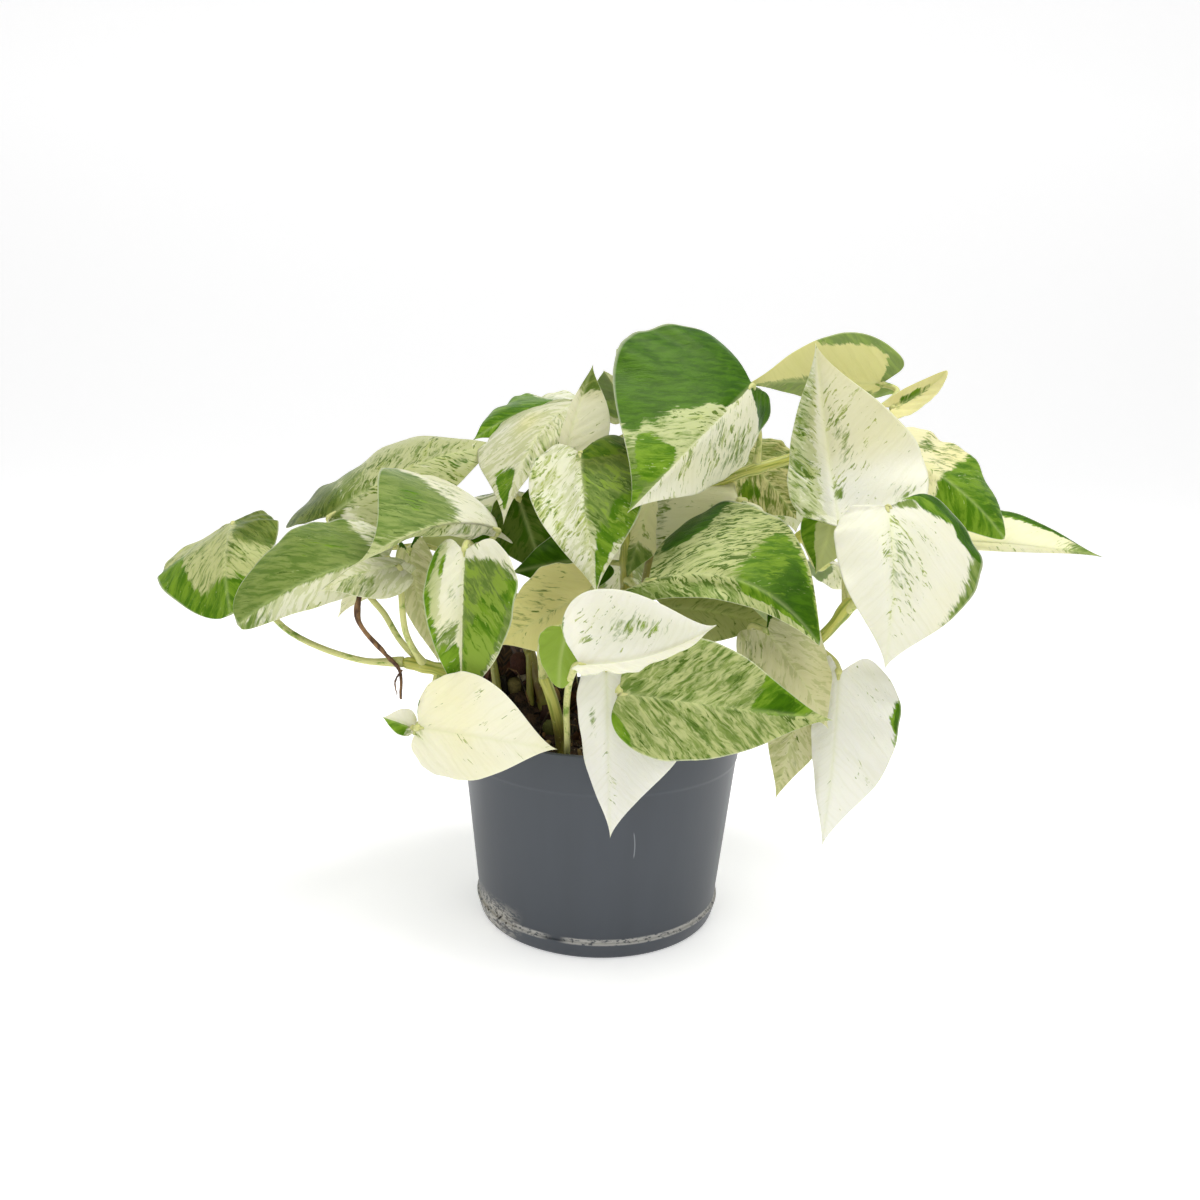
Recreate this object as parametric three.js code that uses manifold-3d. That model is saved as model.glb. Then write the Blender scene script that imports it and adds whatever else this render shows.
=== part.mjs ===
// A potted manjula pothos: a slate grey nursery pot, its soil, the vine stems planted in it, a brown
// aerial root and the variegated heart-shaped leaves, each on its own petiole.
// Millimetres, +Z up. The origin is the centre of the pot's flat underside, and the face of the
// plant that is seen first looks towards -Y.
import * as THREE from 'three';
import { mergeVertices } from 'three/addons/utils/BufferGeometryUtils.js';
import Module from 'manifold-3d';

const wasm = await Module();
wasm.setup();

// Driving dimensions of the pot, a 12 cm nursery pot
const POT_RIM_RADIUS = 60.5;
const POT_HEIGHT = 87;
const POT_WALL = 1.6;
const POT_FLOOR = 2.4;
const FOOT_RADIUS = 53.5;
const FOOT_HEIGHT = 7.4;
const WALL_FOOT_RADIUS = 52.2;
const BAND_HEIGHT = 16;
const BAND_BOTTOM = POT_HEIGHT - BAND_HEIGHT;
const BAND_RADIUS = 59.5;
const BAND_STEP = 0.9;
const WALL_TOP_RADIUS = BAND_RADIUS - BAND_STEP;
const DRAIN_HOLES = 8;
const DRAIN_RADIUS = 4;
const DRAIN_RING_RADIUS = 42;
const EDGE_ROUND = 0.6;
const POT_SIDES = 44;
const DRAIN_SIDES = 12;

// The soil's surface slopes from a low mound in the middle to the wall
const SOIL_TOP = 78;
const MOUND_RADIUS = 24;
const MOUND_RISE = 1;
const SLOPE_RADIUS = 44;
const SLOPE_DROP = 2.5;
const SHOULDER_DROP = 6;
const SOIL_SIDES = 32;

// Driving dimensions of the plant
const CLEARANCE = 0.3;
const STEM_RADIUS = 2.6;
const STEM_SIDES = 6;
const STEPS_PER_STEM_POINT = 3;
const ROOT_RADIUS = 1.2;
const ROOT_STEPS = 8;
const PETIOLE_RADIUS = 1.3;
const PETIOLE_SIDES = 5;
const PETIOLE_STEP_LENGTH = 9;
const PETIOLE_DROP = 7;
const PETIOLE_BACK = 4;
const BLADE_THICKNESS = 1;
const LOBE = 0.135;
const WELD = 1e-4;

const COLORS = {
  pot: 0x52585f, soil: 0x33261c, stem: 0x93a04e, root: 0x5b4630, leaf: 0xc9cf95,
};

// Stems: points of the centre line, from their planted end upwards
const STEMS = {
  left_stem: [[-22, 2, 58], [-27, 4, 95], [-38, 6, 125], [-54, 8, 146], [-72, 10, 158]],
  left_low_stem: [[-32, -14, 58], [-40, -22, 88], [-50, -36, 106], [-62, -46, 115],
    [-76, -50, 119]],
  back_left_stem: [[-12, 22, 58], [-14, 28, 100], [-16, 36, 150], [-16, 44, 190], [-14, 50, 205]],
  middle_stem: [[4, -4, 58], [6, -6, 100], [9, -8, 140], [7, -10, 170], [3, -13, 186]],
  right_stem: [[14, 8, 58], [16, 8, 100], [19, 5, 150], [27, 1, 177], [53, 0, 190], [80, 4, 199],
    [104, 8, 212]],
  right_low_stem: [[26, -14, 58], [36, -20, 92], [60, -32, 114], [84, -36, 129], [97, -36, 146]],
  right_back_stem: [[30, 18, 58], [38, 24, 100], [58, 30, 138], [88, 26, 163], [112, 18, 180]],
  front_stem: [[2, -28, 58], [4, -34, 88], [4, -40, 112]],
  front_left_stem: [[-14, -30, 58], [-16, -36, 86], [-21, -42, 102], [-26, -46, 116]],
};

// Leaves. base and tip are the ends of the midrib, face is the direction that the upper side looks,
// wide is the half width left and right of the midrib, arch is the rise of the midrib's middle, fold
// and curl are how far each half rises at the midrib and bends on towards its margin, in degrees.
// lobe is how far the left and right lobes reach behind the base, where they differ from LOBE, and
// bend is how far the midrib's middle swings to the right. stem and at say where the petiole leaves
// its stem, and via leads it round the other leaves.
const LEAVES = [
  { name: 'far_left', base: [-153, -11, 166], tip: [-143, -42, 131], face: [-0.19, -0.23, 0.96],
    wide: [20, 36], arch: 7, fold: [10, -27], curl: [-40, 8], lobe: [0.12, 0.16],
    stem: 'left_low_stem', at: 0.99,
    via: [[-92, -49, 119], [-126, -34, 128], [-149, -6, 148]] },
  { name: 'left_low', base: [-83, -38, 157], tip: [-133, -62, 134], face: [-0.15, -0.8, 0.55],
    wide: [22, 30], arch: 8, fold: [-30, -8], curl: [-20, -15], stem: 'left_low_stem', at: 0.72,
    via: [[-70, -46, 132], [-80, -42, 146]] },
  { name: 'left_arch', base: [-42, -32, 168], tip: [-98, -76, 150], face: [-0.1, -0.85, 0.5],
    wide: [6, 46], arch: 16, fold: [-80, 0], curl: [-10, -38], stem: 'left_stem', at: 0.62,
    via: [[-49, -12, 150], [-46, -25, 162]] },
  { name: 'left_back', base: [-112, -16, 167], tip: [-44, 17, 199], face: [-0.19, -0.79, 0.58],
    wide: [35, 22], arch: 10, fold: [-8, -13], curl: [-50, -15], lobe: [0.17, 0.06],
    stem: 'left_stem', at: 0.98, via: [[-104, 4, 156]] },
  { name: 'back_left', base: [-16, 50, 220], tip: [-61, 32, 201], face: [-0.2, -0.6, 0.75],
    wide: [28, 26], arch: 5, fold: [-10, -8], curl: [-20, -20], stem: 'back_left_stem', at: 0.98 },
  { name: 'upper_left', base: [-14, 14, 219], tip: [-40, -32, 170], face: [-0.4, -0.8, 0.45],
    wide: [10, 37], arch: 10, fold: [-10, -5], curl: [-25, -25], stem: 'back_left_stem', at: 0.7,
    via: [[-10, 30, 192], [-11, 18, 211]] },
  { name: 'spire', base: [-17, -21, 197], tip: [-7, -9, 233], face: [-0.2, -0.95, 0.1],
    wide: [4, 15], arch: 2, fold: [0, 0], curl: [0, 0], stem: 'middle_stem', at: 0.9 },
  { name: 'centre_left', base: [-11, -32, 198], tip: [-3, -62, 148], face: [-0.1, -0.9, 0.3],
    wide: [25, 20], arch: 6, fold: [4, 6], curl: [5, 5], stem: 'middle_stem', at: 0.99,
    via: [[-1, -22, 189], [-8, -28, 194]] },
  { name: 'top_green', base: [56, -15, 226], tip: [7, -61, 178], face: [-0.1, -1, 0],
    wide: [26, 49], arch: 6, fold: [-35, -5], curl: [-15, -15], stem: 'right_stem', at: 0.72,
    via: [[62, -1, 207], [57, -8, 219]] },
  { name: 'top_yellow', base: [117, 22, 230], tip: [55, 2, 227], face: [0, 0.9, 0.45],
    wide: [21, 9], arch: 3, fold: [5, 5], curl: [10, 10], stem: 'right_stem', at: 0.99 },
  { name: 'right_white', base: [88, -40, 173], tip: [80, -14, 243], face: [-0.05, -0.95, -0.1],
    wide: [17, 36], arch: -3, fold: [-10, 3], curl: [-25, -10], stem: 'right_low_stem', at: 0.98 },
  { name: 'right_curl', base: [113, -12, 219], tip: [130, -22, 233], face: [-0.2, -0.7, 0.4],
    wide: [6, 15], arch: -3, fold: [10, 25], curl: [30, 25], stem: 'right_stem', at: 0.95 },
  { name: 'right_front', base: [102, -52, 182], tip: [98, -76, 127], face: [0.05, -0.92, 0.3],
    wide: [41, 20], arch: 7, fold: [-5, -8], curl: [-28, -22], lobe: [0.16, 0.01],
    stem: 'right_low_stem', at: 0.9, via: [[109, -47, 160], [106, -48, 174]] },
  { name: 'right_lobe', base: [91, -21, 178], tip: [83, -27, 153], face: [-0.3, -0.9, 0.1],
    wide: [8, 12], arch: 2, fold: [-10, -10], curl: [0, 0], stem: 'right_low_stem', at: 0.94 },
  { name: 'right_back', base: [123, 2, 201], tip: [165, -6, 167], face: [0.3, -0.85, 0.4],
    wide: [28, 18], arch: 5, fold: [-10, -10], curl: [-20, -20], stem: 'right_back_stem', at: 0.98 },
  { name: 'far_right', base: [151, 30, 162], tip: [214, 8, 159], face: [0, -0.75, 0.65],
    wide: [23, 4], arch: 3, fold: [-5, -40], curl: [-10, 0], stem: 'right_back_stem', at: 0.8,
    via: [[118, 32, 163]] },
  { name: 'middle_green', base: [23, -48, 154], tip: [73, -68, 133], face: [0.1, -0.75, 0.65],
    wide: [54, 10], arch: 8, fold: [-8, -15], curl: [-18, -15], lobe: [0.22, 0.22], bend: -9,
    stem: 'middle_stem', at: 0.55, via: [[16, -36, 145]] },
  { name: 'front_mottled', base: [13, -82, 118], tip: [80, -82, 110], face: [0.05, -0.95, 0.3],
    wide: [24, 21], arch: -3, fold: [-3, -3], curl: [-12, -12], lobe: [0.08, 0.08],
    stem: 'front_stem', at: 0.98, via: [[11, -52, 127], [13, -68, 135], [14, -78, 127]] },
  { name: 'front_cup', base: [-8, -96, 131], tip: [36, -99, 146], face: [-0.05, -0.5, 0.85],
    wide: [25, 9], arch: -5, fold: [45, 10], curl: [10, 25], lobe: [0.06, 0.06],
    stem: 'front_left_stem', at: 0.4, via: [[-15, -54, 94], [-17, -80, 112]] },
  { name: 'front_lobe', base: [-16, -82, 138], tip: [-19, -82, 120], face: [-0.5, -0.85, 0.1],
    wide: [9, 9], arch: 2, fold: [0, 0], curl: [0, 0], stem: 'front_left_stem', at: 0.97,
    via: [[-23, -62, 128], [-18, -76, 138]] },
  { name: 'front_white', base: [1, -68, 124], tip: [4, -78, 63], face: [0.05, -0.97, 0.2],
    wide: [33, 11], arch: 2, fold: [-5, -10], curl: [-10, -10], stem: 'front_stem', at: 0.8 },
  { name: 'front_yellow', base: [-65, -74, 101], tip: [-15, -88, 99], face: [0, -0.95, 0.3],
    wide: [22, 17], arch: 3, fold: [-5, -10], curl: [-8, -16], lobe: [0.06, 0.06],
    stem: 'left_low_stem', at: 0.6 },
  { name: 'left_trough', base: [-52, -53, 162], tip: [-51, -66, 105], face: [-0.05, -0.95, 0.3],
    wide: [25, 19], arch: 2, fold: [25, 15], curl: [10, 10], lobe: [0.08, 0.08],
    stem: 'left_stem', at: 0.5 },
  { name: 'centre_yellow', base: [-5, -36, 146], tip: [-41, -46, 125], face: [-0.1, -0.9, 0.4],
    wide: [19, 19], arch: 2, fold: [-5, -5], curl: [-10, -10], stem: 'middle_stem', at: 0.5 },
  { name: 'left_beige', base: [-82, -18, 154], tip: [-72, -36, 118], face: [-0.5, -0.8, 0.2],
    wide: [11, 12], arch: 3, fold: [-10, -10], curl: [-5, -5], stem: 'left_stem', at: 0.88 },
  { name: 'left_beige_small', base: [-71, -14, 149], tip: [-66, -28, 122], face: [-0.2, -0.9, 0.2],
    wide: [13, 10], arch: 3, fold: [-10, -10], curl: [-5, -5], stem: 'left_stem', at: 0.68 },
  { name: 'left_under', base: [-76, -55, 156], tip: [-101, -67, 148], face: [-0.2, -0.8, 0.5],
    wide: [12, 6], arch: 3, fold: [-5, -5], curl: [-10, -10], stem: 'left_low_stem', at: 0.86,
    via: [[-73, -57, 132]] },
  { name: 'back_beige', base: [61, 30, 197], tip: [85, 25, 170], face: [0.2, -0.9, 0.3],
    wide: [21, 21], arch: 3, fold: [-5, -5], curl: [-10, -10], stem: 'right_back_stem', at: 0.58 },
  { name: 'middle_beige', base: [54, -6, 180], tip: [19, -16, 151], face: [-0.1, -0.9, 0.4],
    wide: [18, 20], arch: 3, fold: [-5, -5], curl: [-10, -10], stem: 'right_stem', at: 0.5 },
  { name: 'right_low', base: [90, -46, 118], tip: [86, -54, 51], face: [0.08, -0.97, 0],
    wide: [26, 10], arch: 3, fold: [0, -40], curl: [-8, -10], lobe: [0.1, 0.1],
    stem: 'right_low_stem', at: 0.72 },
  { name: 'low_beige', base: [78, -36, 112], tip: [69, -44, 66], face: [0.1, -0.95, 0.1],
    wide: [15, 11], arch: 3, fold: [-5, -5], curl: [-5, -5], stem: 'right_low_stem', at: 0.6 },
  { name: 'low_beige_front', base: [60, -54, 135], tip: [84, -60, 100], face: [0.3, -0.85, 0.4],
    wide: [20, 18], arch: 3, fold: [-5, -5], curl: [-10, -10], stem: 'right_low_stem', at: 0.5 },
  { name: 'centre_olive', base: [-36, -8, 178], tip: [-24, -18, 147], face: [0, -0.95, 0.2],
    wide: [18, 16], arch: 3, fold: [-5, -5], curl: [-5, -5], stem: 'back_left_stem', at: 0.6 },
  { name: 'centre_dark', base: [-2, -16, 156], tip: [-33, -24, 151], face: [0, -0.9, 0.4],
    wide: [8, 14], arch: 3, fold: [-5, -5], curl: [-5, -5], stem: 'middle_stem', at: 0.6 },
  { name: 'centre_patch', base: [19, -16, 168], tip: [7, -21, 147], face: [0, -0.9, 0.4],
    wide: [11, 11], arch: 3, fold: [-5, -5], curl: [-8, -8], stem: 'middle_stem', at: 0.62 },
  { name: 'middle_under', base: [23, -36, 140], tip: [66, -36, 133], face: [0.1, -0.8, 0.5],
    wide: [16, 13], arch: 4, fold: [-5, -5], curl: [-10, -10], stem: 'middle_stem', at: 0.35 },
  { name: 'left_inner', base: [-52, -4, 165], tip: [-78, -12, 160], face: [-0.1, -0.85, 0.5],
    wide: [9, 9], arch: 2, fold: [-5, -5], curl: [-8, -8], stem: 'left_stem', at: 0.55 },
  { name: 'front_curl', base: [-70, -64, 98], tip: [-80, -66, 102], face: [-0.2, -0.8, 0.5],
    wide: [5, 6], arch: 1, fold: [15, 15], curl: [20, 20], stem: 'left_low_stem', at: 0.75 },
  { name: 'behind_spire', base: [8, 36, 214], tip: [-3, 10, 232], face: [-0.3, -0.7, 0.6],
    wide: [12, 14], arch: 2, fold: [-5, -5], curl: [-10, -10], stem: 'back_left_stem', at: 0.9 },
  { name: 'crown', base: [30, 16, 232], tip: [4, 50, 240], face: [0, 0.3, 0.95],
    wide: [24, 24], arch: 6, fold: [-8, -8], curl: [-20, -20], stem: 'right_stem', at: 0.45 },
  { name: 'back_top', base: [28, 48, 206], tip: [38, 86, 172], face: [0.1, 0.8, 0.55],
    wide: [26, 27], arch: 7, fold: [-8, -8], curl: [-20, -20], stem: 'back_left_stem', at: 0.78 },
  { name: 'back_right', base: [72, 52, 192], tip: [98, 88, 158], face: [0.4, 0.7, 0.6],
    wide: [27, 27], arch: 7, fold: [-8, -8], curl: [-20, -20], stem: 'right_back_stem', at: 0.7 },
  { name: 'back_right_low', base: [58, 58, 138], tip: [80, 98, 100], face: [0.4, 0.7, 0.55],
    wide: [28, 27], arch: 6, fold: [-8, -8], curl: [-20, -20], stem: 'right_back_stem', at: 0.4 },
  { name: 'back_left_high', base: [-44, 48, 178], tip: [-70, 82, 146], face: [-0.4, 0.7, 0.6],
    wide: [27, 28], arch: 7, fold: [-8, -8], curl: [-20, -20], stem: 'back_left_stem', at: 0.6 },
  { name: 'back_left_low', base: [-42, 52, 128], tip: [-66, 88, 92], face: [-0.4, 0.7, 0.55],
    wide: [27, 27], arch: 6, fold: [-8, -8], curl: [-20, -20], stem: 'back_left_stem', at: 0.35 },
  { name: 'back_middle', base: [6, 60, 158], tip: [8, 94, 112], face: [0, 0.85, 0.5],
    wide: [28, 28], arch: 7, fold: [-8, -8], curl: [-20, -20], stem: 'back_left_stem', at: 0.5 },
  { name: 'left_side', base: [-82, 22, 148], tip: [-124, 36, 118], face: [-0.6, 0.3, 0.7],
    wide: [25, 25], arch: 6, fold: [-8, -8], curl: [-20, -20], stem: 'left_stem', at: 0.94 },
  { name: 'right_side', base: [106, 40, 150], tip: [148, 54, 118], face: [0.6, 0.3, 0.7],
    wide: [25, 25], arch: 6, fold: [-8, -8], curl: [-20, -20], stem: 'right_back_stem', at: 0.75 },
];

// Brown aerial root, grown from the end of the low left stem and cut to its round
const AERIAL_ROOT = [[-96, -54, 134], [-93, -55, 128], [-87, -58, 121], [-75, -53, 116],
  [-73, -52, 104]];

const vec = ([x, y, z]) => new THREE.Vector3(x, y, z);

// A closed mesh as a solid that can be joined and cut
function toSolid(geometry) {
  geometry.deleteAttribute('normal');
  geometry.deleteAttribute('uv');
  const merged = mergeVertices(geometry, WELD);
  return new wasm.Manifold(new wasm.Mesh({
    numProp: 3,
    vertProperties: merged.attributes.position.array,
    triVerts: Uint32Array.from(merged.index.array),
  }));
}

function toGeometry(solid) {
  const { vertProperties, triVerts } = solid.getMesh();
  const geometry = new THREE.BufferGeometry();
  geometry.setAttribute('position', new THREE.BufferAttribute(vertProperties, 3));
  geometry.setIndex(new THREE.BufferAttribute(triVerts, 1));
  return geometry;
}

// A round bar of constant radius along a curve
function tube(curve, radius, sides, steps) {
  const section = new THREE.Shape();
  for (let side = 0; side < sides; side += 1) {
    const angle = (side / sides) * 2 * Math.PI;
    section[side ? 'lineTo' : 'moveTo'](radius * Math.cos(angle), radius * Math.sin(angle));
  }
  section.closePath();
  return new THREE.ExtrudeGeometry(section, { steps, extrudePath: curve, bevelEnabled: false });
}

const smoothCurve = (points) => new THREE.CatmullRomCurve3(points, false, 'centripetal');

// Half outline of a heart-shaped blade: out is 0 to 1 across, along is 0 at the base and 1 at the
// tip, and the lobe beside the petiole reaches behind the base
function halfOutline(q, lobe) {
  const out = q <= 0 || q >= 1 ? 0 : Math.sin(Math.PI * q) ** (0.62 + 0.75 * q ** 4);
  const along = q ** 1.9 - lobe * (q / 0.09) * Math.exp(1 - q / 0.09);
  return { out, along };
}

// The blade's frame: along the midrib, up out of the upper side, and across to the right
function bladeFrame({ base, tip, face }) {
  const origin = vec(base);
  const along = vec(tip).sub(origin);
  const length = along.length();
  along.normalize();
  const up = vec(face);
  up.addScaledVector(along, -up.dot(along)).normalize();
  const across = new THREE.Vector3().crossVectors(along, up);
  return { origin, along, up, across, length };
}

// A point of the blade. q runs along the margin, and side from -1 at the left margin over 0 at the
// midrib to 1 at the right margin, so that lines of equal q follow the side veins.
function bladePoint(leaf, frame, q, side) {
  const half = side > 0 ? 1 : 0;
  const { out, along } = halfOutline(q, leaf.lobe ? leaf.lobe[half] : LOBE);
  const vein = Math.max(0, (q - 0.12) / 0.88) ** 2.2;
  const reach = Math.abs(side);
  const y = vein + (along - vein) * reach;
  const fold = THREE.MathUtils.degToRad(leaf.fold[half]);
  const curl = THREE.MathUtils.degToRad(leaf.curl[half] || 0.01);
  const angle = fold + curl * out * reach;
  const lateral = (leaf.wide[half] * (Math.sin(angle) - Math.sin(fold))) / curl;
  const rise = (-leaf.wide[half] * (Math.cos(angle) - Math.cos(fold))) / curl;
  const hump = 4 * y * (1 - y);
  return frame.origin.clone()
    .addScaledVector(frame.along, y * frame.length)
    .addScaledVector(frame.across, lateral * Math.sign(side) + (leaf.bend ?? 0) * hump)
    .addScaledVector(frame.up, rise + leaf.arch * hump);
}

// The thin closed blade: the surface through its margin and veins, thickened along its normals and
// closed round the margin
const MARGIN_STEPS = [0, 0.06, 0.16, 0.32, 0.5, 0.68, 0.86, 1];
const ACROSS_STEPS = [-1, -0.5, 0, 0.5, 1];

function bladeGeometry(leaf, frame) {
  const points = MARGIN_STEPS.flatMap((q) => ACROSS_STEPS.map(
    (side) => bladePoint(leaf, frame, q, side),
  ));
  const width = ACROSS_STEPS.length;
  const cells = [];
  for (let row = 0; row + 1 < MARGIN_STEPS.length; row += 1) {
    for (let column = 0; column + 1 < width; column += 1) {
      const corner = row * width + column;
      const next = corner + width;
      const leftHalf = column < (width - 1) / 2;
      if (leftHalf) cells.push(corner, corner + 1, next, corner + 1, next + 1, next);
      else cells.push(corner, corner + 1, next + 1, corner, next + 1, next);
    }
  }
  const sheet = new THREE.BufferGeometry().setFromPoints(points);
  sheet.setIndex(cells);
  return thicken(mergeVertices(sheet, WELD), BLADE_THICKNESS);
}

function thicken(sheet, thickness) {
  const index = sheet.index.array;
  const faces = [];
  for (let i = 0; i < index.length; i += 3) {
    const face = [index[i], index[i + 1], index[i + 2]];
    if (new Set(face).size === 3) faces.push(face);
  }
  sheet.setIndex(faces.flat());
  sheet.computeVertexNormals();
  const { position, normal } = sheet.attributes;
  const count = position.count;
  const points = [];
  for (const shift of [thickness / 2, -thickness / 2]) {
    for (let i = 0; i < count; i += 1) {
      const point = new THREE.Vector3().fromBufferAttribute(position, i);
      points.push(point.addScaledVector(new THREE.Vector3().fromBufferAttribute(normal, i), shift));
    }
  }
  const edges = new Set(faces.flatMap(([a, b, c]) => [`${a},${b}`, `${b},${c}`, `${c},${a}`]));
  const rim = [...edges].map((edge) => edge.split(',').map(Number))
    .filter(([a, b]) => !edges.has(`${b},${a}`));
  const closed = new THREE.BufferGeometry().setFromPoints(points);
  closed.setIndex([
    ...faces.flat(),
    ...faces.flatMap(([a, b, c]) => [c + count, b + count, a + count]),
    ...rim.flatMap(([a, b]) => [a + count, b, a, a + count, b + count, b]),
  ]);
  return closed;
}

const stemCurves = Object.fromEntries(
  Object.entries(STEMS).map(([name, points]) => [name, smoothCurve(points.map(vec))]),
);
const stemSteps = (name) => STEPS_PER_STEM_POINT * STEMS[name].length;
const stemSolid = (name, radius) => toSolid(
  tube(stemCurves[name], radius, STEM_SIDES, stemSteps(name)),
);

// The petiole's centre line: off its stem, round by its via points, or up to the blade from below
// it, and a little way along the midrib
function petioleCurve(leaf, frame) {
  const start = stemCurves[leaf.stem].getPoint(leaf.at);
  const lead = leaf.via ? leaf.via.map(vec) : [frame.origin.clone()
    .addScaledVector(frame.up, -PETIOLE_DROP).addScaledVector(frame.along, -PETIOLE_BACK)];
  const inset = bladePoint(leaf, frame, MARGIN_STEPS[3], 0);
  return smoothCurve([start, ...lead, frame.origin, inset]);
}

// One leaf as it would be picked: blade and petiole in one piece, the petiole's foot cut to the
// round of its stem
function leafGeometry(leaf) {
  const frame = bladeFrame(leaf);
  const curve = petioleCurve(leaf, frame);
  const steps = Math.max(4, Math.round(curve.getLength() / PETIOLE_STEP_LENGTH));
  const petiole = toSolid(tube(curve, PETIOLE_RADIUS, PETIOLE_SIDES, steps));
  const sheath = stemSolid(leaf.stem, STEM_RADIUS + CLEARANCE);
  return toGeometry(toSolid(bladeGeometry(leaf, frame)).add(petiole).subtract(sheath));
}

function rootGeometry() {
  const curve = smoothCurve(AERIAL_ROOT.map(vec));
  const root = toSolid(tube(curve, ROOT_RADIUS, PETIOLE_SIDES, ROOT_STEPS));
  return toGeometry(root.subtract(stemSolid('left_low_stem', STEM_RADIUS + CLEARANCE)));
}

// The pot: one moulded shell with a foot ring, a tapering wall and a stepped rim band
function potGeometry() {
  const profile = [
    [0, 0], [FOOT_RADIUS - 4 * EDGE_ROUND, 0], [FOOT_RADIUS - EDGE_ROUND, 2 * EDGE_ROUND],
    [FOOT_RADIUS, FOOT_HEIGHT - EDGE_ROUND], [WALL_FOOT_RADIUS, FOOT_HEIGHT],
    [WALL_TOP_RADIUS, BAND_BOTTOM], [BAND_RADIUS, BAND_BOTTOM + EDGE_ROUND],
    [POT_RIM_RADIUS, POT_HEIGHT - EDGE_ROUND], [POT_RIM_RADIUS - EDGE_ROUND, POT_HEIGHT],
    [POT_RIM_RADIUS - POT_WALL, POT_HEIGHT], [WALL_TOP_RADIUS - POT_WALL, BAND_BOTTOM],
    [WALL_FOOT_RADIUS - POT_WALL, POT_FLOOR], [0, POT_FLOOR],
  ].map(([radius, height]) => new THREE.Vector2(radius, height));
  let pot = toSolid(new THREE.LatheGeometry(profile, POT_SIDES).rotateX(Math.PI / 2));
  for (let hole = 0; hole < DRAIN_HOLES; hole += 1) {
    const angle = ((hole + 0.5) / DRAIN_HOLES) * 2 * Math.PI;
    const drill = new THREE.CylinderGeometry(DRAIN_RADIUS, DRAIN_RADIUS, 4 * POT_FLOOR, DRAIN_SIDES)
      .rotateX(Math.PI / 2)
      .translate(DRAIN_RING_RADIUS * Math.cos(angle), DRAIN_RING_RADIUS * Math.sin(angle), 0);
    pot = pot.subtract(toSolid(drill));
  }
  return toGeometry(pot);
}

// The soil: a packed plug, clear of the wall all round, with a planting hole for each stem
function soilGeometry() {
  const floor = POT_FLOOR + CLEARANCE;
  const shoulder = SOIL_TOP - SHOULDER_DROP;
  const profile = [
    [0, floor], [WALL_FOOT_RADIUS - POT_WALL - 2 * CLEARANCE, floor],
    [WALL_TOP_RADIUS - POT_WALL - 2 * CLEARANCE, shoulder], [SLOPE_RADIUS, SOIL_TOP - SLOPE_DROP],
    [MOUND_RADIUS, SOIL_TOP], [0, SOIL_TOP + MOUND_RISE],
  ].map(([radius, height]) => new THREE.Vector2(radius, height));
  let soil = toSolid(new THREE.LatheGeometry(profile, SOIL_SIDES).rotateX(Math.PI / 2));
  for (const name of Object.keys(STEMS)) {
    const foot = stemCurves[name].getPoint(0);
    const deeper = foot.clone().add(new THREE.Vector3(0, 0, -CLEARANCE));
    const hole = smoothCurve([deeper, ...STEMS[name].slice(1).map(vec)]);
    const drill = tube(hole, STEM_RADIUS + CLEARANCE, STEM_SIDES, stemSteps(name));
    soil = soil.subtract(toSolid(drill));
  }
  return toGeometry(soil);
}

const finish = {
  pot: new THREE.MeshStandardMaterial({ color: COLORS.pot, roughness: 0.5, metalness: 0 }),
  soil: new THREE.MeshStandardMaterial({ color: COLORS.soil, roughness: 0.95, metalness: 0 }),
  stem: new THREE.MeshStandardMaterial({ color: COLORS.stem, roughness: 0.45, metalness: 0 }),
  root: new THREE.MeshStandardMaterial({ color: COLORS.root, roughness: 0.8, metalness: 0 }),
  leaf: new THREE.MeshStandardMaterial({ color: COLORS.leaf, roughness: 0.35, metalness: 0 }),
};

const plant = new THREE.Group();

function addPiece(name, geometry, material) {
  const mesh = new THREE.Mesh(geometry, material);
  mesh.name = name;
  plant.add(mesh);
}

addPiece('pot', potGeometry(), finish.pot);
addPiece('soil', soilGeometry(), finish.soil);
for (const name of Object.keys(STEMS)) {
  addPiece(name, toGeometry(stemSolid(name, STEM_RADIUS)), finish.stem);
}
addPiece('aerial_root', rootGeometry(), finish.root);
for (const leaf of LEAVES) {
  addPiece(`${leaf.name}_leaf`, leafGeometry(leaf), finish.leaf);
}

export default plant;
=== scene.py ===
"""A potted manjula pothos: its looks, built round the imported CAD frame.
Metres, in the frame of the CAD part: +Z up, the pot's flat underside at the origin, the plant's
front towards -Y. Lengths in the tables are millimetres, as in the CAD source."""
import math
from typing import NamedTuple

import bpy
import numpy as np
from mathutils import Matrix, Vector


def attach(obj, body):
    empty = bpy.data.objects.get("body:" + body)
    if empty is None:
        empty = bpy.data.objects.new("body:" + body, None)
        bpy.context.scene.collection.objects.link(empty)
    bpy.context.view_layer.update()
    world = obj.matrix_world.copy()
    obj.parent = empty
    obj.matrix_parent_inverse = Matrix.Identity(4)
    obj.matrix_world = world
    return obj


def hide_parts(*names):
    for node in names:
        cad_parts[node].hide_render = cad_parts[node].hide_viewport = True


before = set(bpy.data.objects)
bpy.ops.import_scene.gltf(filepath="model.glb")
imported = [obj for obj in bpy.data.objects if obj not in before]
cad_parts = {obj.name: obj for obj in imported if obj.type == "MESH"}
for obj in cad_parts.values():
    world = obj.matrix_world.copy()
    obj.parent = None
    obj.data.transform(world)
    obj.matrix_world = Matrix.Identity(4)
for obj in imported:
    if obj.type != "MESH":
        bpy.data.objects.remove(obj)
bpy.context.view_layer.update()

# Pot
# A thin-walled nursery pot, injection moulded in slate grey plastic in one piece: a foot ring, a
# tapering wall, a stepped rim band and eight drain holes. It is a little scuffed and dusty.
MM = 0.001
TURN = 2 * math.pi
POT_SIDES = 192
FILLET_STEPS = 5
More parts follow.
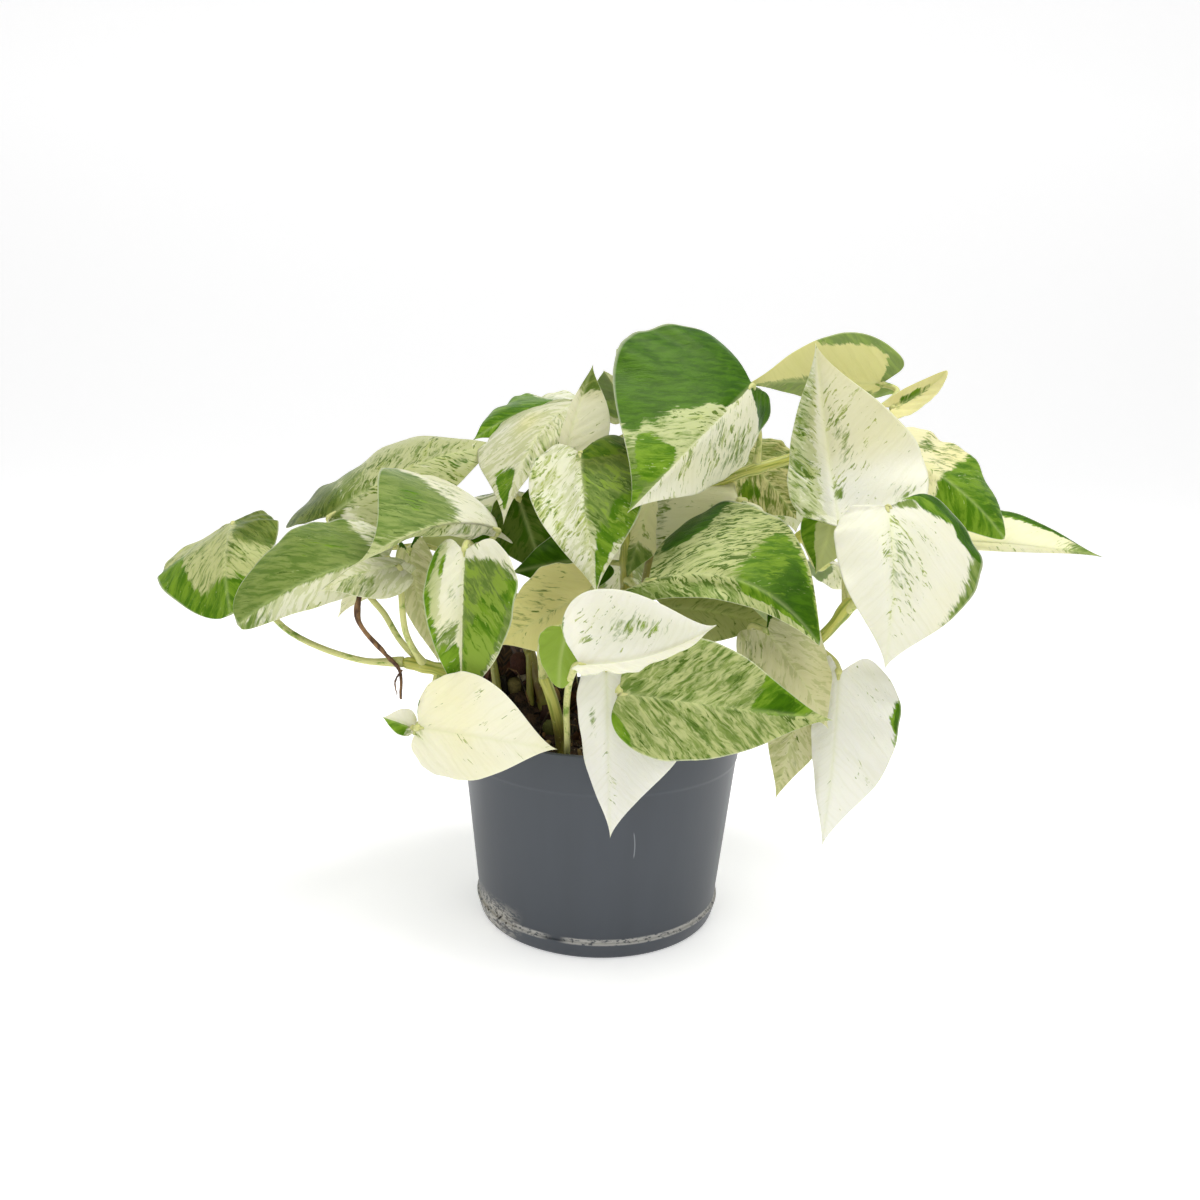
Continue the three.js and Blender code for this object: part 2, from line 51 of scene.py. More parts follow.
POT_PROFILE = [
    # radius, height, rounding of the corner
    (0, 0, 0), (51.2, 0, 1.6), (53.4, 7.3, 0.9), (52.2, 7.5, 0.4), (58.9, 70.4, 0.5),
    (59.4, 71.6, 0.5), (60.5, 87, 0.7), (58.9, 87, 0.6), (57.0, 71, 0.8), (50.6, 2.4, 1.6),
    (0, 2.4, 0),
]
DRAIN_HOLES = 8
DRAIN_RADIUS = 4.0
DRAIN_RING = 42.0
DRAIN_DEPTH = 12.0
DRAIN_SIDES = 32
# For the finish, in metres: the step over the foot, the side that soil sticks to up to a height,
# and a scratch on the front with its place, its half length and the bends of its line
FOOT_STEP = 0.0078
SOILED_SIDE = (-0.84, -0.54)
SOILED_FROM = 0.048
SOILED_HEIGHT = 0.017
SCRATCH_X, SCRATCH_Z = 0.0128, 0.050
SCRATCH_HALF = 0.006
SCRATCH_BENDS, SCRATCH_SWING = 160.0, 0.0012


def rounded_profile(corners, steps):
    """Each corner becomes a quadratic curve that starts and ends its rounding away from it."""
    points = []
    for before, corner, after in zip(corners, corners[1:], corners[2:]):
        at = np.array(corner[:2], float)
        ends = []
        for other in (before, after):
            way = np.array(other[:2], float) - at
            ends.append(at + way / np.linalg.norm(way) * min(corner[2], np.linalg.norm(way) / 2))
        t = np.linspace(0, 1, steps)[:, None]
        points.append((1 - t) ** 2 * ends[0] + 2 * t * (1 - t) * at + t ** 2 * ends[1])
    return np.vstack([[corners[0][:2]], *points, [corners[-1][:2]]])


def circle(sides):
    """The angles of that many points spread evenly round a circle."""
    return np.arange(sides) / sides * TURN


def ring_faces(rings, sides):
    """Four-sided faces between consecutive rings of points, closed round each ring."""
    ring, side = np.meshgrid(np.arange(rings - 1), np.arange(sides), indexing="ij")
    here = ring * sides + side
    beside = ring * sides + (side + 1) % sides
    return np.stack([here, beside, beside + sides, here + sides], -1).reshape(-1, 4)


def end_faces(count, sides):
    """Triangles from the first ring to one pole and from the last ring to another, where the two
    poles follow the count points of the rings."""
    side = np.arange(sides)
    beside = (side + 1) % sides
    last = count - sides
    return np.vstack([np.stack([beside, side, np.full(sides, count)], -1),
                      np.stack([last + side, last + beside, np.full(sides, count + 1)], -1)])


def mesh_piece(name, points, quads, triangles, material, uv=None, layers=None):
    """A named object whose mesh has the points in millimetres and the faces by index. uv holds
    one pair for each corner, and layers one row of four values for each point."""
    mesh = bpy.data.meshes.new(name)
    points = np.asarray(points, float) * MM
    loops = np.concatenate([np.ravel(quads), np.ravel(triangles)]).astype(np.int32)
    sizes = np.concatenate([np.full(len(quads), 4), np.full(len(triangles), 3)])
    starts = np.concatenate([[0], np.cumsum(sizes)[:-1]]).astype(np.int32)
    mesh.vertices.add(len(points))
    mesh.vertices.foreach_set("co", points.ravel())
    mesh.loops.add(len(loops))
    mesh.loops.foreach_set("vertex_index", loops)
    mesh.polygons.add(len(sizes))
    mesh.polygons.foreach_set("loop_start", starts)
    mesh.polygons.foreach_set("use_smooth", np.ones(len(sizes), bool))
    if uv is not None:
        mesh.uv_layers.new(name="veins").data.foreach_set("uv", np.ravel(uv))
    for key, rows in (layers or {}).items():
        layer = mesh.attributes.new(key, "FLOAT_COLOR", "POINT")
        layer.data.foreach_set("color", np.ravel(rows).astype(np.float32))
    mesh.update(calc_edges=True)
    mesh.validate()
    mesh.materials.append(material)
    piece = bpy.data.objects.new(name, mesh)
    bpy.context.scene.collection.objects.link(piece)
    return piece


def lathe(profile, sides):
    """A profile of radius and height turned about Z: x = r cos a, y = r sin a, z = h. Its first
    and last points lie on the axis and become single poles."""
    angle = circle(sides)
    radius, height = profile[1:-1, 0], profile[1:-1, 1]
    rings = np.stack([
        radius[:, None] * np.cos(angle), radius[:, None] * np.sin(angle),
        np.repeat(height[:, None], sides, 1)], -1).reshape(-1, 3)
    points = np.vstack([rings, [[0, 0, profile[0, 1]], [0, 0, profile[-1, 1]]]])
    return points, ring_faces(len(radius), sides), end_faces(len(rings), sides)


def rgb(red, green, blue):
    """The linear colour of an sRGB colour of 0 to 255: c / 12.92, or ((c + 0.055) / 1.055)^2.4."""
    share = np.array([red, green, blue]) / 255
    linear = np.where(share <= 0.04045, share / 12.92, ((share + 0.055) / 1.055) ** 2.4)
    return (*linear.tolist(), 1.0)


class Finish:
    """A material as it is mixed: its shader, and short calls for the nodes that feed it."""

    def __init__(self, name, roughness):
        self.material = bpy.data.materials.new(name)
        self.material.use_nodes = True
        self.tree = self.material.node_tree
        self.shader = self.tree.nodes["Principled BSDF"]
        self.fix({"Roughness": roughness})
        self.place = self.add("TexCoord").outputs["Object"]

    def fix(self, constants):
        """Values that are the same all over, set on the shader's own sockets."""
        for key, value in constants.items():
            self.shader.inputs[key].default_value = value

    def add(self, kind, *values, **settings):
        """One node. values feed its inputs in order, and settings are its own properties."""
        made = self.tree.nodes.new("ShaderNode" + kind)
        for key, value in settings.items():
            setattr(made, key, value)
        for socket, value in zip(made.inputs, values):
            self.feed(socket, value)
        return made

    def feed(self, socket, value):
        """A link where the value comes from a node, or else the constant on the socket."""
        if isinstance(value, bpy.types.NodeSocket):
            self.tree.links.new(value, socket)
        elif value is not None:
            socket.default_value = value

    def math(self, operation, a, b=0.0, clamp=False):
        """One of the math node's operations on a and b."""
        return self.add("Math", a, b, operation=operation, use_clamp=clamp).outputs[0]

    def plus(self, a, b):
        """a + b"""
        return self.math("ADD", a, b)

    def minus(self, a, b, clamp=False):
        """a - b"""
        return self.math("SUBTRACT", a, b, clamp)

    def times(self, a, b):
        """a b"""
        return self.math("MULTIPLY", a, b)

    def away(self, a, b):
        """How far a is from b: |a - b|"""
        return self.math("ABSOLUTE", self.minus(a, b))

    def stretched(self, place, scale):
        """The place with each coordinate times its own scale."""
        made = self.add("Mapping")
        self.feed(made.inputs["Vector"], place)
        made.inputs["Scale"].default_value = scale
        return made.outputs[0]

    def noise(self, place, scale, detail=2.0, rough=0.5):
        """Fractal noise around 0.5 as a number (0) and as a colour (1)."""
        made = self.add("TexNoise")
        for key, value in (("Vector", place), ("Scale", scale), ("Detail", detail),
                           ("Roughness", rough)):
            self.feed(made.inputs[key], value)
        return made.outputs

    def step(self, value, low, high):
        """0 below low, 1 above high, smooth between."""
        made = self.add("MapRange", value, low, high, interpolation_type="SMOOTHSTEP")
        return made.outputs[0]

    def mix(self, share, a, b, blend="MIX"):
        """a (1 - share) + b share, or another blend of a and b."""
        made = self.add("Mix", data_type="RGBA", blend_type=blend)
        for index, value in ((0, share), (6, a), (7, b)):
            self.feed(made.inputs[index], value)
        return made.outputs[2]

    def bump(self, height, depth, strength=1.0):
        """Relief that stands depth metres high where the height is 1."""
        made = self.add("Bump")
        made.inputs["Strength"].default_value = strength
        made.inputs["Distance"].default_value = depth
        self.feed(made.inputs["Height"], height)
        self.feed(self.shader.inputs["Normal"], made.outputs[0])

    def split(self, colour):
        """The red, green and blue of a colour."""
        return self.add("SeparateColor", colour).outputs

    def done(self, colour):
        """The finished material, in that colour."""
        self.feed(self.shader.inputs["Base Color"], colour)
        return self.material


def pot_finish():
    """Satin slate plastic: faint tall flow marks, pale dust along the step of the foot, soil
    stuck to one side of it, and a fine scratch along x = a + b sin(c z)."""
    plastic = Finish("slate_pot_plastic", 0.42)
    plus, minus, times, step = plastic.plus, plastic.minus, plastic.times, plastic.step
    x, y, z = plastic.add("SeparateXYZ", plastic.place).outputs
    flow = plastic.noise(plastic.stretched(plastic.place, (60, 60, 4)), 1.0, 3.0)[0]
    cloud = plastic.noise(plastic.place, 22.0, 4.0)[0]
    grain = plastic.noise(plastic.place, 900.0, 2.0)[0]
    speckled = plastic.noise(plastic.stretched(plastic.place, (400, 400, 900)), 1.0, 4.0, 0.7)[0]
    patchy = plastic.noise(plastic.place, 38.0, 2.0)[0]
    crumbs = plastic.noise(plastic.place, 330.0, 3.0, 0.6)[0]
    colour = plastic.mix(flow, rgb(46, 51, 58), rgb(62, 68, 76))
    colour = plastic.mix(times(cloud, 0.35), colour, rgb(70, 76, 84))
    dust = times(step(plastic.away(z, FOOT_STEP), 0.0014, 0.0005), step(speckled, 0.36, 0.50))
    dust = times(dust, step(patchy, 0.26, 0.44))
    colour = plastic.mix(times(dust, 0.85), colour, rgb(190, 188, 182))
    soiled = plus(times(x, SOILED_SIDE[0]), times(y, SOILED_SIDE[1]))
    soiled = times(step(soiled, SOILED_FROM, SOILED_FROM + 0.0045),
                   step(z, SOILED_HEIGHT, SOILED_HEIGHT - 0.008))
    colour = plastic.mix(times(soiled, step(speckled, 0.42, 0.56)), colour, rgb(176, 172, 162))
    colour = plastic.mix(times(soiled, step(crumbs, 0.55, 0.6)), colour, rgb(38, 32, 28))
    bent = times(plastic.math("SINE", times(z, SCRATCH_BENDS)), SCRATCH_SWING)
    scratch = times(step(plastic.away(minus(x, bent), SCRATCH_X), 0.0003, 0.0001),
                    step(plastic.away(z, SCRATCH_Z), SCRATCH_HALF, SCRATCH_HALF - 0.002))
    scratch = times(scratch, plastic.math("LESS_THAN", y, 0.0))
    colour = plastic.mix(times(scratch, 0.4), colour, rgb(176, 180, 184))
    plastic.feed(plastic.shader.inputs["Roughness"],
                 plus(plus(times(flow, 0.1), times(dust, 0.3)), 0.36))
    plastic.bump(plus(times(grain, 0.25), flow), 0.0002, 0.35)
    return plastic.done(colour)


pot_shell = mesh_piece("pot_shell", *lathe(rounded_profile(POT_PROFILE, FILLET_STEPS), POT_SIDES),
                       pot_finish())
drill_profile = np.array([[0, -DRAIN_DEPTH], [DRAIN_RADIUS, -DRAIN_DEPTH],
                          [DRAIN_RADIUS, DRAIN_DEPTH], [0, DRAIN_DEPTH]])
for hole in range(DRAIN_HOLES):
    angle = (hole + 0.5) / DRAIN_HOLES * TURN
    drill_points, *drill_faces = lathe(drill_profile, DRAIN_SIDES)
    drill_points += np.array([math.cos(angle), math.sin(angle), 0]) * DRAIN_RING
    drill = mesh_piece("drill", drill_points, *drill_faces, pot_shell.data.materials[0])
    cut = pot_shell.modifiers.new("drain_hole", "BOOLEAN")
    cut.object = drill
    cut.operation = "DIFFERENCE"
    bpy.context.view_layer.update()
    finished = bpy.data.meshes.new_from_object(
        pot_shell.evaluated_get(bpy.context.evaluated_depsgraph_get()))
    pot_shell.modifiers.clear()
    pot_shell.data = finished
    bpy.data.objects.remove(drill)
pot_shell.data.name = "pot_shell"
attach(pot_shell, "root")
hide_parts("pot")

# Soil
# A loose potting mix of peat, composted bark and a few pale grains, filled to 9 mm under the rim.
# It stands a little higher round the stems than at the wall, and is heaped at the left back.
SOIL_RINGS = 84
SOIL_SIDES = 264
SOIL_RADIUS = 56.9
SOIL_PROFILE = np.array([[0, 79], [24, 78], [44, 75.5], [56.7, 72], [SOIL_RADIUS, 71]])
SOIL_BOTTOM = 3.0
SOIL_FOOT_RADIUS = 50.0
HEAP = (-35.0, 12.0)
HEAP_SIZE = 15.0
HEAP_RISE = 20.0
LATTICE = 64


def grain(x, y, size, seed):
    """Value noise from -1 to 1: random numbers on a square lattice of that size, joined by
    cubic steps 3t^2 - 2t^3 between its corners."""
    lattice = np.random.default_rng(seed).uniform(-1, 1, (LATTICE, LATTICE))
    column, row = np.floor(x / size).astype(int), np.floor(y / size).astype(int)
    along, up = x / size - column, y / size - row
    along, up = along * along * (3 - 2 * along), up * up * (3 - 2 * up)
    corner = lambda i, j: lattice[(row + j) % LATTICE, (column + i) % LATTICE]
    low = corner(0, 0) * (1 - along) + corner(1, 0) * along
    high = corner(0, 1) * (1 - along) + corner(1, 1) * along
    return low * (1 - up) + high * up


def soil_height(x, y):
    """Height of the soil: its mound by distance from the axis, a heap as a bell curve, and lumps
    of three sizes that fade out at the wall."""
    radius = np.hypot(x, y)
    height = np.interp(radius, SOIL_PROFILE[:, 0], SOIL_PROFILE[:, 1])
    away = (x - HEAP[0]) ** 2 + (y - HEAP[1]) ** 2
    height = height + HEAP_RISE * np.exp(-away / HEAP_SIZE ** 2)
    lumps = 1.3 * grain(x, y, 9, 1) + 1.0 * grain(x, y, 3.6, 2) + 0.7 * np.abs(grain(x, y, 1.5, 3))
    return height + lumps * np.clip((SOIL_RADIUS - radius) / 3, 0, 1)


def soil_surface_mesh():
    """Rings of points from the middle to the wall at soil_height, one ring at the foot, and a
    pole in the middle of the top and of the underside."""
    angle = circle(SOIL_SIDES)
    radius = SOIL_RADIUS * (np.arange(1, SOIL_RINGS + 1) / SOIL_RINGS) ** 0.8
    x, y = radius[:, None] * np.cos(angle), radius[:, None] * np.sin(angle)
    top = np.stack([x, y, soil_height(x, y)], -1)[::-1]
    foot = np.stack([SOIL_FOOT_RADIUS * np.cos(angle), SOIL_FOOT_RADIUS * np.sin(angle),
                     np.full(SOIL_SIDES, SOIL_BOTTOM)], -1)
    rings = np.vstack([foot[None], top]).reshape(-1, 3)
    points = np.vstack([rings, [[0, 0, SOIL_BOTTOM], [0, 0, soil_height(0.0, 0.0)]]])
    return points, ring_faces(SOIL_RINGS + 1, SOIL_SIDES), end_faces(len(rings), SOIL_SIDES)


def soil_finish():
    """Damp dark peat, browner on the lumps, with pale specks of grit."""
    peat = Finish("damp_peat", 0.92)
    coarse = peat.noise(peat.place, 260.0, 5.0, 0.65)[0]
    fine = peat.noise(peat.place, 1500.0, 3.0, 0.6)[0]
    colour = peat.mix(peat.step(coarse, 0.35, 0.7), rgb(30, 21, 17), rgb(84, 60, 44))
    grit = peat.step(peat.noise(peat.place, 620.0, 1.0)[0], 0.72, 0.75)
    peat.bump(peat.plus(coarse, fine), 0.0012, 0.9)
    return peat.done(peat.mix(grit, colour, rgb(186, 172, 140)))


soil_surface = mesh_piece("soil_surface", *soil_surface_mesh(), soil_finish())
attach(soil_surface, "root")
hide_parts("soil")

# Bark bits
# Chips of composted bark, husk and a few pale grains, tipped every way over the soil. Each is a
# blocky rounded chip. They are smaller close to a stem, and a few larger lumps lie on the heap.
STEMS = {
    # points of the centre lines of the vines, from the planted end upwards
    "left_stem": [(-22, 2, 58), (-27, 4, 95), (-38, 6, 125), (-54, 8, 146), (-72, 10, 158)],
    "left_low_stem": [(-32, -14, 58), (-40, -22, 88), (-50, -36, 106), (-62, -46, 115),
                      (-76, -50, 119)],
    "back_left_stem": [(-12, 22, 58), (-14, 28, 100), (-16, 36, 150), (-16, 44, 190),
                       (-14, 50, 205)],
    "middle_stem": [(4, -4, 58), (6, -6, 100), (9, -8, 140), (7, -10, 170), (3, -13, 186)],
    "right_stem": [(14, 8, 58), (16, 8, 100), (19, 5, 150), (27, 1, 177), (53, 0, 190),
                   (80, 4, 199), (104, 8, 212)],
    "right_low_stem": [(26, -14, 58), (36, -20, 92), (60, -32, 114), (84, -36, 129),
                       (97, -36, 146)],
    "right_back_stem": [(30, 18, 58), (38, 24, 100), (58, 30, 138), (88, 26, 163),
                        (112, 18, 180)],
    "front_stem": [(2, -28, 58), (4, -34, 88), (4, -40, 112)],
    "front_left_stem": [(-14, -30, 58), (-16, -36, 86), (-19, -42, 102), (-23, -46, 115)],
}
CHIPS = 420
CHIP_RINGS = 4
CHIP_SIDES = 8
CHIP_REACH = 54.5
CHIP_SIZE = np.array([3.6, 2.2, 0.95])
CHIP_COLOURS = [rgb(46, 30, 24), rgb(70, 42, 32), rgb(104, 66, 44), rgb(150, 112, 70),
                rgb(196, 172, 118), rgb(36, 26, 24), rgb(214, 204, 180)]
CHIP_SHARES = [0.26, 0.24, 0.2, 0.1, 0.08, 0.09, 0.03]
STEM_SPREAD = 1.06
STEM_CLEAR = 3.0
LUMPS = [
    # centre, half sizes, colour
    ((-36.5, 8, 105), (3.5, 2.8, 4.6), rgb(84, 44, 34)),
    ((-38.5, 8, 95), (3.3, 2.5, 3.7), rgb(150, 140, 88)),
    ((-23.4, 9, 91), (4.7, 3.0, 3.4), rgb(178, 146, 90)),
    ((-22.6, -1, 85.5), (4.0, 3.0, 3.5), rgb(70, 36, 32)),
    ((-20.2, -8, 80.5), (4.8, 3.0, 4.0), rgb(116, 124, 60)),
    ((-44.0, 6, 96), (2.6, 2.4, 4.4), rgb(34, 24, 22)),
    ((-30.0, 7, 99), (2.8, 2.4, 4.0), rgb(38, 26, 22)),
]


def chip_shape():
    """A blocky ball: a unit sphere whose sines and cosines are drawn out by the power 0.6."""
    push = lambda v: np.sign(v) * np.abs(v) ** 0.6
    around = circle(CHIP_SIDES)
    up = (np.arange(1, CHIP_RINGS + 1) / (CHIP_RINGS + 1) - 0.5) * math.pi
    ring = np.stack([push(np.cos(up))[:, None] * push(np.cos(around)),
                     push(np.cos(up))[:, None] * push(np.sin(around)),
                     np.repeat(push(np.sin(up))[:, None], CHIP_SIDES, 1)], -1).reshape(-1, 3)
    return (np.vstack([ring, [[0, 0, -1], [0, 0, 1]]]), ring_faces(CHIP_RINGS, CHIP_SIDES),
            end_faces(len(ring), CHIP_SIDES))


def turns(random, count):
    """Random rotations: the orthogonal factors of random matrices, with their determinant 1."""
    turn = np.linalg.qr(random.normal(size=(count, 3, 3)))[0]
    return turn * np.sign(np.linalg.det(turn))[:, None, None]


def chip_finish():
    """Dull bark in the colour of its chip, darker in its grooves."""
    bark = Finish("chipped_bark", 0.85)
    base = bark.add("Attribute", attribute_name="bark").outputs[0]
    fibre = bark.noise(bark.place, 900.0, 4.0, 0.7)[0]
    bark.bump(fibre, 0.0008, 0.8)
    return bark.done(bark.mix(1.0, base, bark.mix(fibre, rgb(120, 110, 104), rgb(255, 250, 244)),
                              "MULTIPLY"))


def bark_bits_mesh(random):
    """Chips scattered evenly over a disc, each turned at random, and the lumps on the heap. Every
    point of a chip is moved in or out by a normal draw."""
    shape, quads, ends = chip_shape()
    angle = random.uniform(0, TURN, CHIPS)
    reach = CHIP_REACH * np.sqrt(random.uniform(0, 1, CHIPS))
    x, y = reach * np.cos(angle), reach * np.sin(angle)
    size = random.uniform(0.5, 1.0, (CHIPS, 1)) ** 1.5 * CHIP_SIZE
    size *= random.uniform(0.7, 1.3, (CHIPS, 3))
    feet = np.array([points[0][:2] for points in STEMS.values()]) * STEM_SPREAD
    gap = np.hypot(x[:, None] - feet[:, 0], y[:, None] - feet[:, 1]).min(1)
    size *= np.clip((gap - STEM_CLEAR) / 3.5, 0.25, 1)[:, None]
    points = (shape[None] * (1 + 0.14 * random.normal(size=(CHIPS, len(shape), 1)))
              * size[:, None]) @ turns(random, CHIPS)
    points += np.stack([x, y, soil_height(x, y) + 0.35 * size[:, 0]], -1)[:, None]
    hue = np.array(CHIP_COLOURS)[random.choice(len(CHIP_COLOURS), CHIPS, p=CHIP_SHARES)]
    for place, half, colour in LUMPS:
        lump = shape * (1 + 0.12 * random.normal(size=(len(shape), 1))) * half + place
        points, hue = np.vstack([points, lump[None]]), np.vstack([hue, [colour]])
    offset = np.arange(len(points))[:, None, None] * len(shape)
    hue = np.repeat(hue[:, None], len(shape), 1)
    return (points.reshape(-1, 3), (quads + offset).reshape(-1, 4), (ends + offset).reshape(-1, 3),
            chip_finish(), None, {"bark": hue})


bark_bits = mesh_piece("bark_bits", *bark_bits_mesh(np.random.default_rng(11)))
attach(bark_bits, "root")

# Surface roots
# Thin dark roots and husk fibres that loop over the soil and stand up between the stems. Each
# starts and ends in the soil, and every third one rises higher.
ROOTLETS = 34
ROOTLET_STEPS = 26
ROOTLET_SIDES = 7
ROOTLET_REACH = 53


def sweep(path, radius, sides):
    """A round bar along a path: path + r (cos a u + sin a v), where u and v lie across the path
    and u is square to the direction that the whole path leans on least."""
    tangent = np.gradient(path, axis=0)
    tangent /= np.linalg.norm(tangent, axis=1, keepdims=True)
    across = np.cross(tangent, np.linalg.eigh(tangent.T @ tangent)[1][:, 0])
    across /= np.linalg.norm(across, axis=1, keepdims=True)
    angle = circle(sides)[None, :, None]
    around = np.cos(angle) * across[:, None] + np.sin(angle) * np.cross(tangent, across)[:, None]
    radius = np.broadcast_to(radius, len(path))
    rings = (path[:, None] + radius[:, None, None] * around).reshape(-1, 3)
    return (np.vstack([rings, path[:1], path[-1:]]), ring_faces(len(path), sides),
            end_faces(len(rings), sides))


def joined(parts):
    """Several shapes as one: their points in a row, and their faces moved on to match."""
    starts = np.cumsum([0] + [len(part[0]) for part in parts[:-1]])
    return (np.vstack([part[0] for part in parts]),
            np.vstack([part[1] + start for part, start in zip(parts, starts)]),
            np.vstack([part[2] + start for part, start in zip(parts, starts)]))


def rootlet(random, number):
    """A root that starts in the soil, rises over it by h sin(pi t)^0.8 and wanders as it goes."""
    t = np.linspace(0, 1, ROOTLET_STEPS)
    start = random.uniform(0, TURN)
    reach = random.uniform(10, 46)
    way = random.uniform(0, TURN) + random.uniform(-1.6, 1.6) * t
    step = random.uniform(12, 30) / ROOTLET_STEPS
    x = reach * math.cos(start) + np.cumsum(np.cos(way)) * step
    y = reach * math.sin(start) + np.cumsum(np.sin(way)) * step
    inside = np.minimum(1, ROOTLET_REACH / np.maximum(np.hypot(x, y), 1))
    x, y = x * inside, y * inside
    rise = random.uniform(1, 4) if number % 3 else random.uniform(6, 15)
    height = soil_height(x, y) - 1 + rise * np.sin(math.pi * t) ** 0.8
    radius = random.uniform(0.25, 0.5) * (1.15 - 0.6 * t)
    return sweep(np.stack([x, y, height], -1), radius, ROOTLET_SIDES)


def rootlet_finish():
    """Dark wiry root with paler worn stretches."""
    wiry = Finish("wiry_root", 0.8)
    worn = wiry.noise(wiry.place, 180.0, 3.0)[0]
    wiry.bump(wiry.noise(wiry.place, 2400.0, 2.0)[0], 0.0003, 0.8)
    return wiry.done(wiry.mix(wiry.step(worn, 0.42, 0.7), rgb(40, 27, 22), rgb(132, 100, 64)))


root_random = np.random.default_rng(5)
surface_roots = mesh_piece(
    "surface_roots", *joined([rootlet(root_random, n) for n in range(ROOTLETS)]), rootlet_finish())
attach(surface_roots, "root")

# Aerial root
# One dry brown root from the stalk of a low left leaf. It bends down over the air, leans on the
# stalk under it, is wrinkled along its length and forks once near its end.
ROOT_PATH = [(-92.6, -43.4, 146.2), (-91.9, -50, 134.2), (-80.9, -52.5, 121.7),
             (-76.1, -52.3, 115.7), (-76, -52, 105)]
ROOT_FORK = [(-75.5, -53.2, 116.5), (-77.5, -54.5, 112), (-77, -55, 107.5)]
ROOT_RADIUS = 1.2
FORK_RADIUS = 0.45
ROOT_SIDES = 14
ROOT_STEPS = 70
ROOT_DRIFT = 0.25 * 0.15


def curve_points(points, t):
    """The smooth curve through the points that the CAD part uses: a cubic between neighbours
    whose slopes weigh the spans on both sides by the square root of their lengths."""
    points = np.array(points, float)
    whole = np.vstack([2 * points[0] - points[1], points, 2 * points[-1] - points[-2]])
    place = (len(points) - 1) * np.asarray(t, float)
    span = np.clip(np.floor(place).astype(int), 0, len(points) - 2)
    share = (place - span)[:, None]
    a, b, c, d = (whole[span + k] for k in range(4))
    before, here, after = (np.linalg.norm(q - p, axis=1, keepdims=True) ** 0.5
                           for p, q in ((a, b), (b, c), (c, d)))
    leave = ((b - a) / before - (c - a) / (before + here) + (c - b) / here) * here
    arrive = ((c - b) / here - (d - b) / (here + after) + (d - c) / after) * here
    return (b + leave * share + (3 * (c - b) - 2 * leave - arrive) * share ** 2
            + (2 * (b - c) + leave + arrive) * share ** 3)


def root_mesh(path, radius, seed):
    """A tapering bar along a line that drifts by the sum of small normal draws. Its radius is
    wrinkled by the product of two sines round it whose phases run on along it."""
    t = np.linspace(0, 1, ROOT_STEPS)
    line = curve_points(path, t)
    draws = np.random.default_rng(seed).normal(size=(ROOT_STEPS - 2, 3))
    line[1:-1] += ROOT_DRIFT * draws.cumsum(0)
    thickness = radius * (1 - 0.62 * t) * (1 + 0.1 * np.sin(37 * t + 2 * np.sin(11 * t)))
    points, quads, ends = sweep(line, thickness, ROOT_SIDES)
    ring, t = circle(ROOT_SIDES)[None], t[:, None]
    wrinkle = 1 + 0.14 * np.sin(3 * ring + 9 * t) * np.sin(5 * ring - 23 * t)
    centre = np.repeat(line, ROOT_SIDES, 0)
    points[:-2] = centre + (points[:-2] - centre) * wrinkle.reshape(-1, 1)
    return points, quads, ends


def root_finish():
    """Dry bark: tan to dark brown streaks."""
    bark = Finish("dry_root_bark", 0.75)
    streak = bark.noise(bark.stretched(bark.place, (420, 420, 120)), 1.0, 3.0, 0.6)[0]
    bark.bump(streak, 0.0005, 0.8)
    return bark.done(bark.mix(bark.step(streak, 0.36, 0.66), rgb(70, 44, 30), rgb(152, 116, 76)))


air_root = mesh_piece("air_root", *joined([root_mesh(ROOT_PATH, ROOT_RADIUS, 2),
                                           root_mesh(ROOT_FORK, FORK_RADIUS, 3)]), root_finish())
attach(air_root, "root")
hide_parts("aerial_root")

# Leaves
# Heart-shaped living leaves, each one thin blade grown in one with its petiole. Every half is
# marbled differently: cream or white, with ragged green patches and flecks along the side veins.
# Leaves that sit in shade are painted duller and darker, and faint lines of painted shade run
# along the side veins.


class Leaf(NamedTuple):
    """Base and tip are where the midrib starts and ends, and face is the side that the upper
    surface faces. wide, fold, curl and lobe are for the left and the right half as seen from
    above with the tip away: half widths, degrees at the midrib, degrees on to the margin, and
    how far a lobe reaches back. The petiole leaves its stem at a share of its length and comes
    by the via points. paint lists amounts of tones, for the whole blade or between two shares of
    its length and two of its half width (left is negative), with an amount where it isn't 1."""
    name: str
    base: tuple
    tip: tuple
    face: tuple
    wide: tuple
    arch: float
    fold: tuple
    curl: tuple
    stem: str
    at: float
    paint: str
    via: tuple = ()
    lobe: tuple = (0.135, 0.135)
    bend: float = 0.0
    point: float = 0.75


